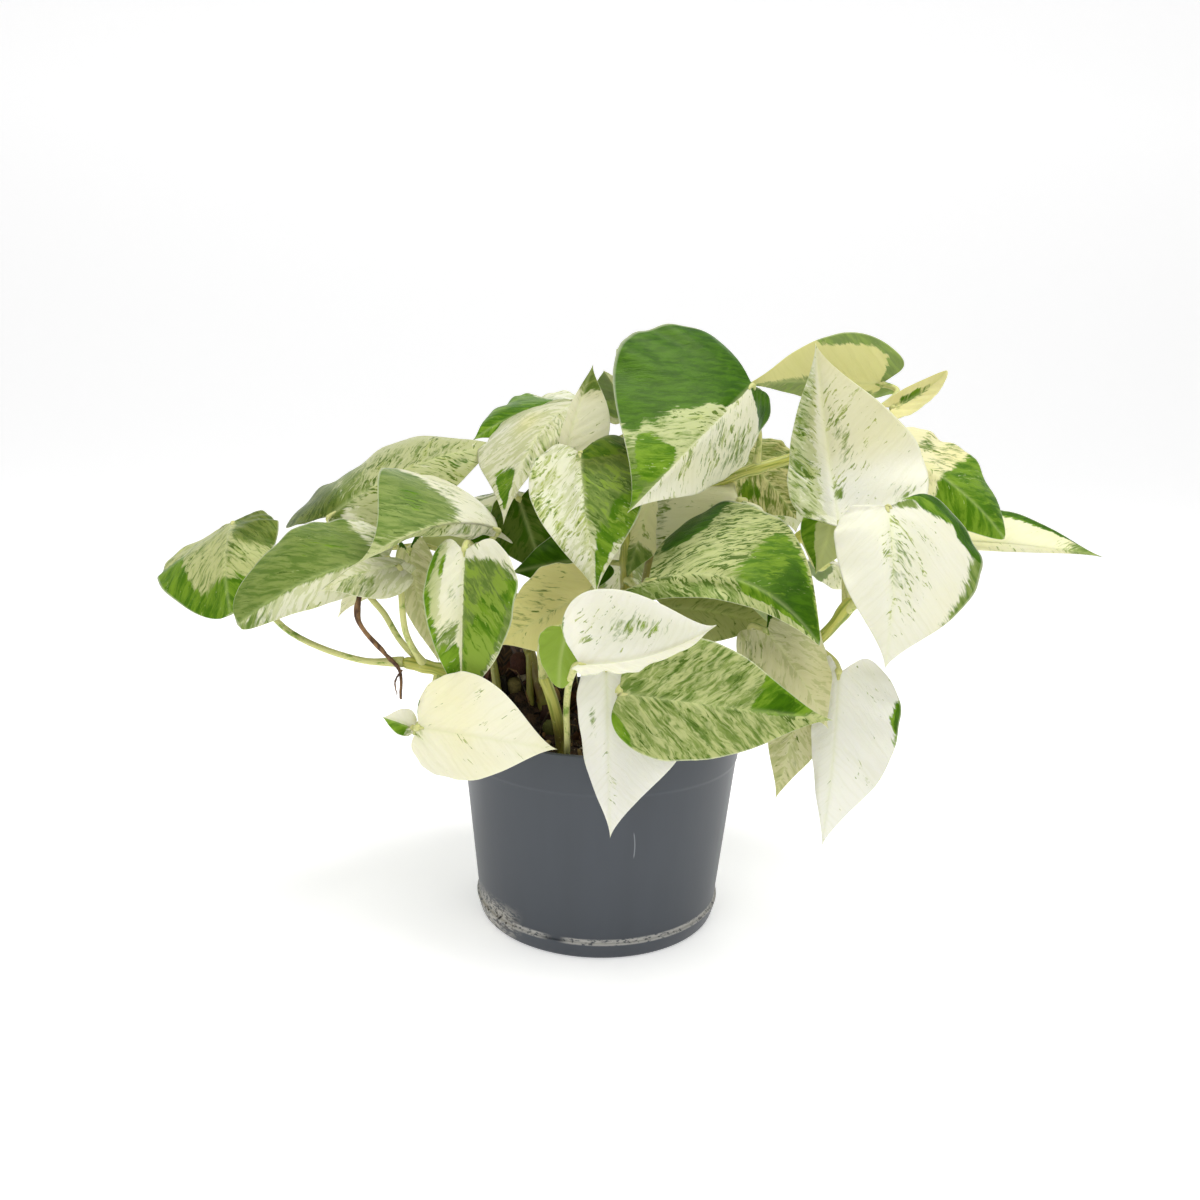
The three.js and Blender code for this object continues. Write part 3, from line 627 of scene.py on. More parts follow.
LEAVES = [
    Leaf("far_left", (-153, -11, 166), (-143, -42, 133.5), (-0.19, -0.23, 0.96), (20, 36), 7,
         (10, -27), (-40, 8), "left_low_stem", 0.99,
         "cream .5, beige .35, pale .75, flecks .7, sage .42, sage -.1 .66 -1.3 -.1 1, "
         "beige -.1 .66 -1.3 -.1 1, green .45 .95 .6 1.3, green .86 1.1 -1.3 1.3",
         via=((-92, -49, 119), (-126, -34, 128), (-149, -6, 148)), lobe=(0.12, 0.16), point=-0.1),
    Leaf("left_low", (-83, -38, 157), (-133, -62, 134), (-0.15, -0.8, 0.55), (12, 32), 8,
         (-30, -8), (-20, -15), "left_low_stem", 0.72,
         "cream .15, beige .2, pale .5, flecks .5, sage .34 1.1 -.1 1.3 1, "
         "green .4 .8 .1 .8 .42, beige .34 1.1 0 1.3 .3, sage .1 .4 .1 1.3 .42, "
         "pale .3 1.1 -1.3 -.1 .4, sage .88 1.1 -1.3 0 .6",
         via=((-71, -47, 120), (-77.4, -46, 126.4), (-83.5, -44, 135.6), (-91, -42, 146)),
         point=-0.2),
    Leaf("left_arch", (-42, -32, 168), (-98, -76, 150), (-0.1, -0.85, 0.5), (6, 45), 16, (-80, 0),
         (-10, -38), "left_stem", 0.62,
         "cream .3, beige .15, pale .35, pale .6 1.1 -1.3 1.3 .9, flecks .7, "
         "sage .53 .86 .04 1.3, sage .32 .56 .2 .75 .46, green .58 .76 .2 .8 .5, "
         "sage .2 .9 -1.3 0 .42",
         via=((-49, -12, 150), (-46, -25, 162)), point=5),
    Leaf("left_back", (-112, -16, 170), (-44, 17, 199), (-0.19, -0.79, 0.58), (38, 22), 10,
         (-8, -13), (-50, -15), "left_stem", 0.98,
         "cream .25, beige .35, sage -.1 .42 -1.3 .2 1, beige -.1 .42 -1.3 .2 1, flecks .9, "
         "sage .36 .62 -1.3 .2 .6, pale .36 1.1 -1.3 1.3 .7, beige .36 1.1 -1.3 1.3 .5, "
         "sage .5 .95 -.7 .3 .42, sage .1 .9 .2 1.3 .38, deep .76 .94 .1 .8 .5",
         via=((-104, 4, 156),), lobe=(0.2, 0.06)),
    Leaf("back_left", (-16, 50, 220), (-61, 32, 201), (-0.2, -0.6, 0.75), (28, 26), 5, (-10, -8),
         (-20, -20), "back_left_stem", 0.98,
         "cream .2, pale .5, flecks .8, sage .3 .6 -1.3 1.3 .5, green .5 1.1 -1.3 1.3, "
         "deep .55 1 -1.3 1.3 .5, deep 0 .5 -1.3 0 .5"),
    Leaf("upper_left", (-14, 14, 219), (-40, -32, 170), (-0.4, -0.8, 0.45), (10, 37), 10,
         (-10, -5), (-25, -25), "back_left_stem", 0.7,
         "cream .25, beige .35, pale .5, flecks .7, pale -.1 .55 .3 1.3 1, "
         "beige -.1 .55 .3 1.3 .6, sage -.1 .4 .5 1.3 .42, green .84 .97 .1 .8 .9, "
         "sage .5 .9 -1.3 .1 .4, cream .5 .72 .1 .5 .6",
         via=((-10, 30, 192), (-11, 18, 211))),
    Leaf("spire", (-17, -21, 197), (-7, -9, 233), (-0.2, -0.95, 0.1), (4, 15), 2, (0, 0), (0, 0),
         "middle_stem", 0.9,
         "cream .3, beige .32, pale .3, flecks .3, sage .85 1.1 -1.3 1.3, beige .8 1.1 -1.3 1.3, "
         "sage .2 .5 -.3 .4 .4"),
    Leaf("centre_left", (-11, -32, 198), (-3, -62, 148), (-0.1, -0.9, 0.3), (25, 20), 6, (4, 6),
         (5, 5), "middle_stem", 0.99,
         "cream .2, beige .15, pale .5, flecks 1, sage -.1 .84 -1.3 .04 .85, "
         "green .05 .36 -.78 .04, deep .08 .3 -.6 .0 .5, beige .0 .5 -.95 .1 1, "
         "green .58 .7 -1.1 -.74, green .64 .84 -1 -.46, green .76 1.1 -.85 -.16 .75, "
         "pale .3 .9 -.9 0 .8, pale .5 1.1 -1.3 -.97, sage .1 .6 .8 1.3 .4, "
         "fresh .3 .84 -1.3 0 .45",
         via=((-1, -22, 189), (-8, -28, 194))),
    Leaf("top_green", (56, -15, 226), (7, -61, 178), (-0.1, -1, 0), (26, 49), 6, (-35, -5),
         (-15, -15), "right_stem", 0.72,
         "cream .25, deep -.1 .6 0 1.3, deep -.1 .7 .14 1.3, deep -.1 .79 .36 1.3, "
         "deep -.1 .84 .6 1.3, deep -.1 .3 -1 .1, flecks .8, pale .55 1.1 0 1.3 .9, "
         "sage .7 .9 0 1.3 .44, sage .45 .7 -1 -.3 .5, green .82 .93 .02 .8 .95, "
         "sage .86 1.1 0 1.3 .9, green .86 1.1 .2 1.3 .55, sage .55 .8 -.6 0 .4, "
         "pale .3 .9 -1.3 0 .35",
         via=((62, -1, 207), (57, -8, 219))),
    Leaf("top_yellow", (117, 22, 230), (55, 2, 227), (0, 0.9, 0.45), (21, 9), 3, (5, 5), (10, 10),
         "right_stem", 0.99,
         "cream .9, pale .2, flecks .2, green -.1 .22 -1.3 1.3, green -.1 .7 -1.3 -.78, "
         "beige -.1 .22 -1.3 1.3 .4, sage .55 .97 -.2 1.3 .8, green .7 .94 0 1.3 .5, "
         "sage .1 .5 .4 1.3 .6"),
    Leaf("right_white", (88, -40, 173), (80, -14, 243), (-0.05, -0.95, -0.1), (17, 36), -3,
         (-10, 3), (-25, -10), "right_low_stem", 0.98,
         "cream .15, beige .05, pale .1 1 -1.3 -.2 .6, sage .15 .95 -1.2 -.32 .45, "
         "sage .5 .9 -1.0 -.5 .55, cream .6 1.1 -.2 1.3 .35, pale .62 1.1 -.8 1.3 .25, "
         "beige .62 1.1 -.6 1.3 .6, flecks .5, flecks .15 .98 -1.1 -.15 .9, "
         "flecks .45 .95 -.1 .55 .9, pale .5 .85 -.1 .4 .2, sage .6 .84 .08 .34 .5, "
         "sage .46 .58 -.05 .14 .55, sage .07 .3 .6 1.0 .95, green .12 .26 .72 1.0 .4, "
         "sage .3 .5 .55 .9 .45",
         lobe=(-0.06, 0.135)),
    Leaf("right_curl", (113, -12, 219), (130, -22, 233), (-0.2, -0.7, 0.4), (5, 12), -3, (10, 25),
         (30, 25), "right_stem", 0.95,
         "cream .75, beige .25, green .4 .8 -.6 .15 .6, sage .2 .9 -.4 .3 .5",
         point=0),
    Leaf("right_front", (102, -52, 182), (98, -76, 127), (0.05, -0.92, 0.3), (41, 20), 7, (-5, -8),
         (-28, -22), "right_low_stem", 0.9,
         "cream .22, beige .12, pale .12, green -.1 .3 -1.3 -.5, deep -.05 .5 -1.3 -.76, "
         "sage .3 .84 -1.3 -.86, sage .03 .2 -.55 -.08 .75, sage 0 .16 -.3 .2 .5, "
         "flecks .3 .92 -.5 .25 .85, pale .35 .85 -.4 .2 .35, sage .45 .85 -.25 .12 .4",
         via=((109, -47, 160), (106, -48, 174)), lobe=(0.16, 0.01)),
    Leaf("right_lobe", (91, -21, 178), (83, -27, 153), (-0.3, -0.9, 0.1), (11, 12), 2, (-10, -10),
         (0, 0), "right_low_stem", 0.94,
         "cream .2, pale 1, green .1 1 .5 1.3"),
    Leaf("right_back", (123, 2, 201), (165, -6, 167), (0.3, -0.85, 0.4), (28, 18), 5, (-10, -10),
         (-20, -20), "right_back_stem", 0.98,
         "cream .6, beige .1, flecks .2 .8 -1.3 .3 .9, sage .3 .48 -.8 -.2 .6, "
         "sage .44 .66 -1.3 1.3 .44, green .64 1.1 -1.3 1.3, deep .8 1.02 -1.2 .1 .5",
         point=0.1),
    Leaf("far_right", (151, 30, 162), (214, 8, 159), (0, -0.75, 0.65), (23, 4), 3, (-5, -40),
         (-10, 0), "right_back_stem", 0.8,
         "cream .5, pale .15, flecks .4, deep .4 .94 -1.3 -.84, green .36 .9 -1.3 -.78, "
         "sage .9 1.1 -1.3 1.3 .95, sage .3 .9 .4 1.3 .35",
         via=((118, 32, 163),)),
    Leaf("middle_green", (16, -50, 152.5), (77, -68, 133), (0.1, -0.75, 0.65), (54, 10), 8,
         (-8, -15), (-18, -15), "middle_stem", 0.55,
         "cream .5, pale .95, flecks 1, sage .44, deep .12 .44 -1.3 -.42, "
         "sage .05 .78 .2 1.3 .6, green .72 1.1 -.9 .6, deep .78 1.04 -.9 .4 .62, "
         "beige .7 1.1 -.9 .5 .4",
         via=((16, -36, 145),), lobe=(0.06, 0.28), bend=-9, point=0.2),
    Leaf("front_mottled", (5.5, -83, 118), (80, -82, 110), (0.05, -0.95, 0.3), (24, 21), -3,
         (-3, -3), (-12, -12), "front_stem", 0.98,
         "cream .5, pale .95, beige .15, sage .52, flecks .7, green .06 .3 .6 1.3 .9, "
         "fresh 0 .3 .6 1.3 .4, green .82 .95 -1.3 .1, deep .84 .94 -1 .1 .6, "
         "sage .1 .5 -.6 .3 .58, sage .5 .8 .3 1 .44",
         via=((11, -52, 127), (10, -66, 126), (9, -76, 122)), lobe=(0, 0.03)),
    Leaf("front_cup", (-8, -96, 131), (36, -99, 146), (-0.05, -0.5, 0.85), (25, 9), -5, (45, 10),
         (10, 25), "front_left_stem", 0.12,
         "cream .1, flecks .2 .95 -.95 -.1 .7, pale .4 .95 -.8 -.2 .3, "
         "sage .5 .88 -.75 -.25 .46, fresh .5 .88 -.75 -.25 .36, green .02 .2 -1.3 -.85 .7, "
         "beige 0 1.1 .05 1.3 .3",
         via=((-13, -50, 84), (-13, -54, 94), (-13, -66, 108), (-11, -86, 124)),
         lobe=(0.06, 0.06)),
    Leaf("front_lobe", (-12.5, -82, 140), (-15, -82, 119), (-0.5, -0.85, 0.1), (9, 10), 2, (0, 0),
         (0, 0), "front_left_stem", 0.97,
         "cream .3, sage 1, fresh .8, pale 0 1 -1.3 -.5",
         via=((-23, -62, 128), (-18, -76, 138)), lobe=(0, 0), point=-0.1),
    Leaf("front_white", (1, -68, 124), (4, -78, 63), (0.05, -0.97, 0.2), (33, 11), 2, (-5, -10),
         (-10, -10), "front_stem", 0.8,
         "cream .04, green .47 .68 -.62 -.08, fresh .47 .68 -.6 -.1 .4, sage .5 .66 .35 .7 .5, "
         "flecks .6 .95 -.4 .3 .5"),
    Leaf("front_yellow", (-65, -74, 101), (-15, -88, 99), (0, -0.95, 0.3), (22, 17), 3, (-5, -10),
         (-8, -16), "left_low_stem", 0.6,
         "cream .42, pale -.1 .35 -.1 .4 .5, sage 0 .3 0 .2 .4, flecks .5, "
         "green -.1 .12 -1.3 -.5 .8",
         lobe=(0.06, 0.06)),
    Leaf("left_trough", (-52, -53, 162), (-51, -66, 105), (-0.05, -0.95, 0.3), (25, 14), 2,
         (25, 15), (10, 10), "left_stem", 0.5,
         "cream .35, pale .25, flecks .5, sage .3 1.1 -.98 0 .85, beige .3 .7 -1 0 .2, "
         "fresh .3 1.1 -.98 0 .48, green .42 .62 -1.2 -.66 .8, deep .5 .72 -.95 -.6 .45, "
         "green .56 .84 -.85 -.26, green .72 1.1 -.66 -.03, sage .5 .82 -1.3 -.7 .8, "
         "fresh .7 1.1 -.95 -.1 .62, fresh .5 .84 -.85 -.26 .45, pale .5 .9 -1.3 -.94, "
         "green .12 .85 .74 1.3 .6, sage .08 .6 .7 1.3 .5, pale .1 .7 .6 1.3 .9, "
         "green .2 .48 .5 .75 .6, sage .46 .68 .08 .5 .4, green .78 1.1 .1 1.3, "
         "sage .68 .82 .1 1.3 .6",
         lobe=(0.08, 0.08)),
    Leaf("centre_yellow", (-5, -36, 146), (-41, -46, 125), (-0.1, -0.9, 0.4), (21, 19), 2,
         (-5, -5), (-10, -10), "middle_stem", 0.5,
         "cream 1, flecks .5, sage .5 1 -.3 1.3 .34"),
    # The deep green band at the base of left_beige is painted shade, cast by the arching leaf
    # above it.
    Leaf("left_beige", (-79, -20, 157), (-64, -36, 115), (-0.3, -0.9, 0.2), (10, 9), 3, (-10, -10),
         (-5, -5), "left_stem", 0.88,
         "cream .5, beige .4, pale .5, deep -.1 .15 -1.3 1.3 .8"),
    Leaf("left_beige_small", (-71, -14, 149), (-66, -28, 122), (-0.2, -0.9, 0.2), (13, 10), 3,
         (-10, -10), (-5, -5), "left_stem", 0.68,
         "cream .4, beige .6, pale .6, sage .4"),
    Leaf("left_under", (-76, -55, 156), (-101, -67, 148), (-0.2, -0.8, 0.5), (12, 6), 3, (-5, -5),
         (-10, -10), "left_low_stem", 0.86,
         "cream .3, beige .3, pale .5, sage .62 .98 -1.3 .2 .5, flecks .2",
         via=((-73, -57, 132),)),
    # back_beige sits in shade at the back: its full beige is painted shade, partly its own dull
    # colour.
    Leaf("back_beige", (61, 30, 197), (85, 25, 170), (0.2, -0.9, 0.3), (21, 21), 3, (-5, -5),
         (-10, -10), "right_back_stem", 0.58,
         "beige 1, cream .5, pale .35, sage .5, flecks .7, green .5 .75 .2 .8 .7, "
         "pale .2 .5 -.8 .2 .8"),
    Leaf("middle_beige", (54, -6, 180), (19, -16, 151), (-0.1, -0.9, 0.4), (18, 28), 3, (-5, -5),
         (-10, -10), "right_stem", 0.5,
         "beige .15, cream .4, pale .3, flecks .5, sage 0 .7 -.5 .05 .6, green 0 .5 -.3 0 .5, "
         "sage .2 .9 .6 1.1 .5"),
    Leaf("right_low", (90, -46, 118), (86, -54, 51), (0.08, -0.97, 0), (26, 10), 3, (0, -40),
         (-8, -10), "right_low_stem", 0.72,
         "cream .06, flecks .3, green .36 .6 -1.3 -.85, deep .38 .58 -1.3 -.9",
         lobe=(0.1, 0.1)),
    # low_beige sits in shade behind right_low: its beige is painted shade, partly its own dull
    # colour.
    Leaf("low_beige", (78, -36, 112), (69, -44, 66), (0.1, -0.95, 0.1), (15, 11), 3, (-5, -5),
         (-5, -5), "right_low_stem", 0.6,
         "beige .5, cream .5, flecks .4, sage .3, pale .5"),
    Leaf("low_beige_front", (60, -54, 135), (84, -60, 100), (0.3, -0.85, 0.4), (20, 18), 3,
         (-5, -5), (-10, -10), "right_low_stem", 0.5,
         "cream .5, beige .45, pale .45, flecks .4, sage .1 .6 .2 1.3 .36, "
         "deep -.1 .12 -1.3 0 .8"),
    # centre_olive and centre_dark sit in shade in the middle of the plant: their beige is painted
    # shade, and their dark green is partly painted shade too.
    Leaf("centre_olive", (-36, -8, 178), (-24, -18, 147), (0, -0.95, 0.2), (18, 16), 3, (-5, -5),
         (-5, -5), "back_left_stem", 0.6,
         "cream .3, sage 1, deep .5, beige 1"),
    Leaf("centre_dark", (-2, -16, 156), (-38, -24, 150), (0, -0.9, 0.4), (13, 14), 3, (-5, -5),
         (-5, -5), "middle_stem", 0.6,
         "cream .3, deep 1, beige .5"),
    Leaf("centre_patch", (18, -3, 180), (9, -12, 147), (0, -0.9, 0.4), (13, 11), 3, (-5, -5),
         (-8, -8), "middle_stem", 0.62,
         "cream .6, pale .3, flecks .4, sage .8 1.1 -1.3 1.3, sage .1 .5 .1 .8 .44"),
    Leaf("middle_under", (23, -36, 140), (66, -36, 133), (0.1, -0.8, 0.5), (16, 13), 4, (-5, -5),
         (-10, -10), "middle_stem", 0.35,
         "sage .35, beige .25, pale .8, cream .6, flecks .4"),
    Leaf("left_inner", (-52, -4, 165), (-78, -12, 160), (-0.1, -0.85, 0.5), (9, 9), 2, (-5, -5),
         (-8, -8), "left_stem", 0.55,
         "cream .3, deep .1 .5 -1.3 1.3, pale .5 1 -1.3 1.3"),
    Leaf("front_curl", (-70, -64, 98), (-80, -66, 102), (-0.2, -0.8, 0.5), (5, 6), 1, (15, 15),
         (20, 20), "left_low_stem", 0.75,
         "cream .3, sage .1 .9 -1.3 0 .6, green .4 1.1 -1.3 0 .8"),
    Leaf("behind_spire", (8, 36, 214), (-3, 10, 232), (-0.3, -0.7, 0.6), (12, 14), 2, (-5, -5),
         (-10, -10), "back_left_stem", 0.9,
         "cream .3, deep .6 1.1 0 1.3, green .2 .6 .1 .6, pale .5"),
    Leaf("crown", (30, 16, 232), (4, 50, 240), (0, 0.3, 0.95), (24, 24), 6, (-8, -8), (-20, -20),
         "right_stem", 0.45,
         "cream .5, flecks .7, green .15 .6 .3 1.3, sage .4 .8 -1.3 -.5, deep .7 .95 -1 .3 .8"),
    Leaf("back_top", (28, 48, 206), (38, 86, 172), (0.1, 0.8, 0.55), (26, 27), 7, (-8, -8),
         (-20, -20), "back_left_stem", 0.78,
         "cream .4, flecks .6, deep .05 .5 -1.3 -.3, green .4 .8 .5 1.3, sage .6 .9 -.7 0, "
         "pale .2 .5 0 .6 .6"),
    Leaf("back_right", (72, 52, 192), (98, 88, 158), (0.4, 0.7, 0.6), (27, 27), 7, (-8, -8),
         (-20, -20), "right_back_stem", 0.7,
         "cream .3, flecks .8, sage .1 .5 .2 1.3, green .5 .9 -1.3 -.5, deep .1 .3 .5 1.3, "
         "pale .5 .8 0 1 .6"),
    Leaf("back_right_low", (58, 58, 138), (80, 98, 100), (0.4, 0.7, 0.55), (28, 27), 6, (-8, -8),
         (-20, -20), "right_back_stem", 0.4,
         "cream .35, flecks .7, green .1 .55 -1.3 -.1, deep .3 .6 .6 1.3, sage .6 .95 -.6 1"),
    Leaf("back_left_high", (-44, 48, 178), (-70, 82, 146), (-0.4, 0.7, 0.6), (27, 28), 7, (-8, -8),
         (-20, -20), "back_left_stem", 0.6,
         "cream .25, flecks .6, deep .2 .7 .5 1.3, sage .1 .45 -.9 -.1, green .7 1 -1.3 .4"),
    Leaf("back_left_low", (-42, 52, 128), (-66, 88, 92), (-0.4, 0.7, 0.55), (27, 27), 6, (-8, -8),
         (-20, -20), "back_left_stem", 0.35,
         "cream .4, flecks .9, pale .7, green .15 .4 -1.3 -.5, deep .5 .8 .1 .9, "
         "sage .3 .6 0 .7"),
    Leaf("back_middle", (6, 60, 158), (8, 94, 112), (0, 0.85, 0.5), (28, 28), 7, (-8, -8),
         (-20, -20), "back_left_stem", 0.5,
         "cream .3, flecks .7, deep .1 .45 .1 1.3, green .5 .85 -1.3 -.4, sage .45 .8 .3 1.3, "
         "pale .1 .4 -1.3 0 .5"),
    Leaf("left_side", (-82, 22, 148), (-124, 36, 118), (-0.6, 0.3, 0.7), (25, 25), 6, (-8, -8),
         (-20, -20), "left_stem", 0.94,
         "cream .5, flecks .6, green .1 .5 .4 1.3, sage .3 .8 -1.3 -.5, deep .6 .9 -.5 .4 .7"),
    Leaf("right_side", (106, 40, 150), (148, 54, 118), (0.6, 0.3, 0.7), (25, 25), 6, (-8, -8),
         (-20, -20), "right_back_stem", 0.75,
         "cream .35, flecks .7, deep .1 .5 -1.3 -.4, green .5 .9 .3 1.3, pale .4 .8 -.8 0 .5"),
]
BLADE_ROWS = 60
BLADE_COLUMNS = 18
BLADE_HALF = 0.22
BLADE_SEED = 100
GROOVE_WIDTH = 0.8
RIDGE_WIDTH = 0.9
RIB_WIDTH = 0.75
VEIN_SLOPE = 1.0
VEIN_SPACING = 5.2
VEIN_START = 0.12
LOBE_PEAK = 0.09
PETIOLE_STEPS = 44
PETIOLE_SIDES = 12
PETIOLE_RADIUS = 1.2
PETIOLE_DROP = 7.0
PETIOLE_BACK = 4.0
PETIOLE_END = 0.32
# Veins are mapped in centimetres. Each leaf's map is moved along, and its left half far away, so
# that no two halves have the same marbling
CENTIMETRE = 10
MAP_STEP = 7.3
MAP_LEFT = 50.0
# The beige tone is painted shade, partly the leaves' own dull colour: a multiply that darkens and
# dulls the leaves, and the parts of leaves, that sit in shade.
TONES = ("pale", "sage", "green", "deep", "cream", "flecks", "fresh", "beige")


def blade_axes(leaf):
    """The start of the midrib, its direction and length, the upper surface's direction and the
    direction to the right, which are square to each other."""
    base, tip, up = (np.array(v, float) for v in (leaf.base, leaf.tip, leaf.face))
    length = np.linalg.norm(tip - base)
    along = (tip - base) / length
    up -= along * (up @ along)
    up /= np.linalg.norm(up)
    return base, along, length, up, np.cross(along, up)


def blade(leaf, q, side):
    """Points of a blade. With out = sin(pi q)^(0.62 + point q^4) and reach = out |side|, a point
    lies wide (sin(fold + curl reach) - sin fold) / curl to the side of the midrib and
    wide (cos fold - cos(fold + curl reach)) / curl above it. Along the midrib it runs from
    v = ((q - 0.12) / 0.88)^2.2 + 0.012 q (1 - q) at side 0 to q^1.9 less the lobe at side 1. arch
    lifts and bend swings the middle by 4 y (1 - y). Also returned: y and the reach in mm."""
    base, along, length, up, right = blade_axes(leaf)
    wide, fold, curl, lobe = (np.where(side > 0, pair[1], pair[0])
                              for pair in (leaf.wide, leaf.fold, leaf.curl, leaf.lobe))
    fold, curl = np.radians(fold), np.radians(np.where(curl == 0, 0.01, curl))
    out = np.clip(np.sin(math.pi * q), 0, 1) ** (0.62 + leaf.point * q ** 4)
    reach = out * np.abs(side)
    edge = q ** 1.9 - lobe * (q / LOBE_PEAK) * np.exp(1 - q / LOBE_PEAK)
    vein = np.clip((q - VEIN_START) / (1 - VEIN_START), 0, 1) ** 2.2 + 0.012 * q * (1 - q)
    y = vein + (edge - vein) * np.abs(side)
    angle = fold + curl * reach
    lateral = np.sign(side) * wide * (np.sin(angle) - np.sin(fold)) / curl
    rise = wide * (np.cos(fold) - np.cos(angle)) / curl
    hump = 4 * y * (1 - y)
    points = (base + (y * length)[..., None] * along
              + (lateral + leaf.bend * hump)[..., None] * right
              + (rise + leaf.arch * hump)[..., None] * up)
    return points, y, wide * reach


def soft_step(value, at, soft):
    """0 to 1 across a band of that half width: 3t^2 - 2t^3."""
    t = np.clip((value - at) / (2 * soft) + 0.5, 0, 1)
    return t * t * (3 - 2 * t)


def painted(leaf, q, side):
    """The amount of each tone at each point: for every stroke the product of four soft steps,
    and the largest of the strokes of a tone. A stroke that starts or ends at the midrib is
    sharp there."""
    amounts = {tone: np.zeros_like(q) for tone in TONES}
    for stroke in leaf.paint.split(","):
        tone, *numbers = stroke.split()
        numbers = [float(number) for number in numbers]
        patch = np.full_like(q, numbers[0] if len(numbers) < 4 else 1.0)
        if len(numbers) >= 4:
            q0, q1, s0, s1 = numbers[:4]
            q_soft, s_soft = min(0.12, 0.45 * (q1 - q0)), min(0.24, 0.45 * (s1 - s0))
            patch = soft_step(q, q0, q_soft) * soft_step(q1, q, q_soft)
            patch = patch * soft_step(side, s0, 0.02 if s0 == 0 else s_soft)
            patch = patch * soft_step(s1, side, 0.02 if s1 == 0 else s_soft)
            patch = patch * (numbers[4] if len(numbers) > 4 else 1.0)
        amounts[tone] = np.maximum(amounts[tone], patch)
    return amounts


def blade_mesh(leaf, number):
    """A closed skin round the blade. Each row of points crosses the upper side from left to
    right and the lower side back, and both ends close in one pole. It is lifted along its normal
    by waves at the margin, slow dimples, a swelling between side veins and a groove over the
    midrib, under which a ridge runs."""
    random = np.random.default_rng(BLADE_SEED + number)
    ease = lambda t: (1 - np.cos(math.pi * t)) / 2
    share = np.linspace(0, 1, BLADE_ROWS + 2)
    half = np.arange(BLADE_COLUMNS + 1) / BLADE_COLUMNS
    half = 0.5 * half + 0.5 * ease(half)
    columns = np.concatenate([-half[:0:-1], half])
    q, side = np.meshgrid(0.45 * share + 0.55 * ease(share), columns, indexing="ij")
    surface, y, reach = blade(leaf, q, side)
    normal = np.cross(np.gradient(surface, axis=1), np.gradient(surface, axis=0))
    normal /= np.maximum(np.linalg.norm(normal, axis=-1, keepdims=True), 1e-9)
    normal[0], normal[-1] = normal[1].mean(0), normal[-2].mean(0)
    out, right = np.abs(side), (side > 0).astype(int)
    ends = np.sqrt(np.clip(np.sin(math.pi * q), 0, 1))
    turn = random.uniform(0, TURN, 8)
    flutter = np.clip((sum(leaf.wide) - 10) / 40, 0.1, 1.0)
    swing = flutter * random.uniform(0.7, 1.5, 2)[right]
    beat = random.uniform(2.2, 3.4, 2)[right]
    waves = swing * ends * out ** 2.5 * (np.sin(TURN * beat * q + turn[right])
                                         + 0.45 * np.sin(TURN * 2.3 * beat * q + turn[right + 2]))
    dimples = 1.4 * flutter * ends * (np.sin(7 * q + turn[right + 4])
                                      * np.sin(3.5 * out + turn[right + 6]))
    vein_line = y * blade_axes(leaf)[2] - VEIN_SLOPE * reach
    quilt = np.abs(np.sin(math.pi * vein_line / VEIN_SPACING + turn[right + 4])) ** 0.7
    quilt = 0.42 * (quilt - 0.5) * np.clip(reach / 3, 0, 1) * (1 - 0.6 * out ** 4) * ends
    groove = 0.42 * np.exp(-(reach / GROOVE_WIDTH) ** 2) * ends
    ridge = 0.75 * (1 - q) * np.exp(-(reach / RIDGE_WIDTH) ** 2) * ends
    half_thick = BLADE_HALF * (1 - 0.5 * out ** 6)
    lift = waves + dimples * np.clip(reach / 4, 0, 1) + quilt
    upper = surface + normal * (lift + half_thick - groove)[..., None]
    lower = surface + normal * (lift - half_thick - ridge)[..., None]
    ring = lambda a, b: np.concatenate([a[1:-1], b[1:-1, ::-1]], 1)
    flat = lambda values: np.append(ring(values, values).ravel(), [values[0, 0], values[-1, 0]])
    rings = ring(upper, lower).reshape(-1, 3)
    sides = 2 * len(columns)
    quads, caps = ring_faces(BLADE_ROWS, sides), end_faces(len(rings), sides)
    strokes = {tone: flat(amount) for tone, amount in painted(leaf, q, side).items()}
    under = np.append(ring(np.zeros_like(q), np.ones_like(q)).ravel(), [0, 0])
    rib = flat(np.exp(-(reach / RIB_WIDTH) ** 2) * (1 - 0.6 * q))
    rim = flat(out * soft_step(out, 0.985, 0.012))
    layers = {
        "tones": np.stack([strokes[tone] for tone in TONES[:4]], -1),
        "tints": np.stack([strokes["cream"], strokes["flecks"], under, np.zeros_like(rib)], -1),
        "edges": np.stack([rib, rim, strokes["fresh"], strokes["beige"]], -1)}
    across, down, place = flat(reach) / CENTIMETRE, flat(vein_line) / CENTIMETRE, flat(side)
    uv = []
    for faces in (quads, caps):
        left = (place[faces].mean(1, keepdims=True) < 0) * MAP_LEFT
        moved = across[faces] + left + MAP_STEP * number
        uv.append(np.stack([moved, down[faces]], -1).reshape(-1, 2))
    return (np.vstack([rings, surface[:1, 0], surface[-1:, 0]]), quads, caps, np.vstack(uv),
            layers)


def tube_uv(quads, ends, path, sides, radius):
    """Corner pairs in centimetres: along the path, and round the bar."""
    along = np.concatenate([[0], np.cumsum(np.linalg.norm(np.diff(path, axis=0), axis=1))])
    last = len(path) * sides
    pairs = lambda ring, side: np.stack(
        [along[ring] / CENTIMETRE, side / sides * TURN * radius / CENTIMETRE], -1).reshape(-1, 2)
    side = quads % sides
    wrapped = (side == 0) & (np.array([0, 1, 1, 0]) == 1)
    end_ring = np.where(ends == last, 0, len(path) - 1)
    return np.vstack([pairs(quads // sides, np.where(wrapped, sides, side)),
                      pairs(np.where(ends >= last, end_ring, ends // sides),
                            np.where(ends >= last, 0, ends % sides))])


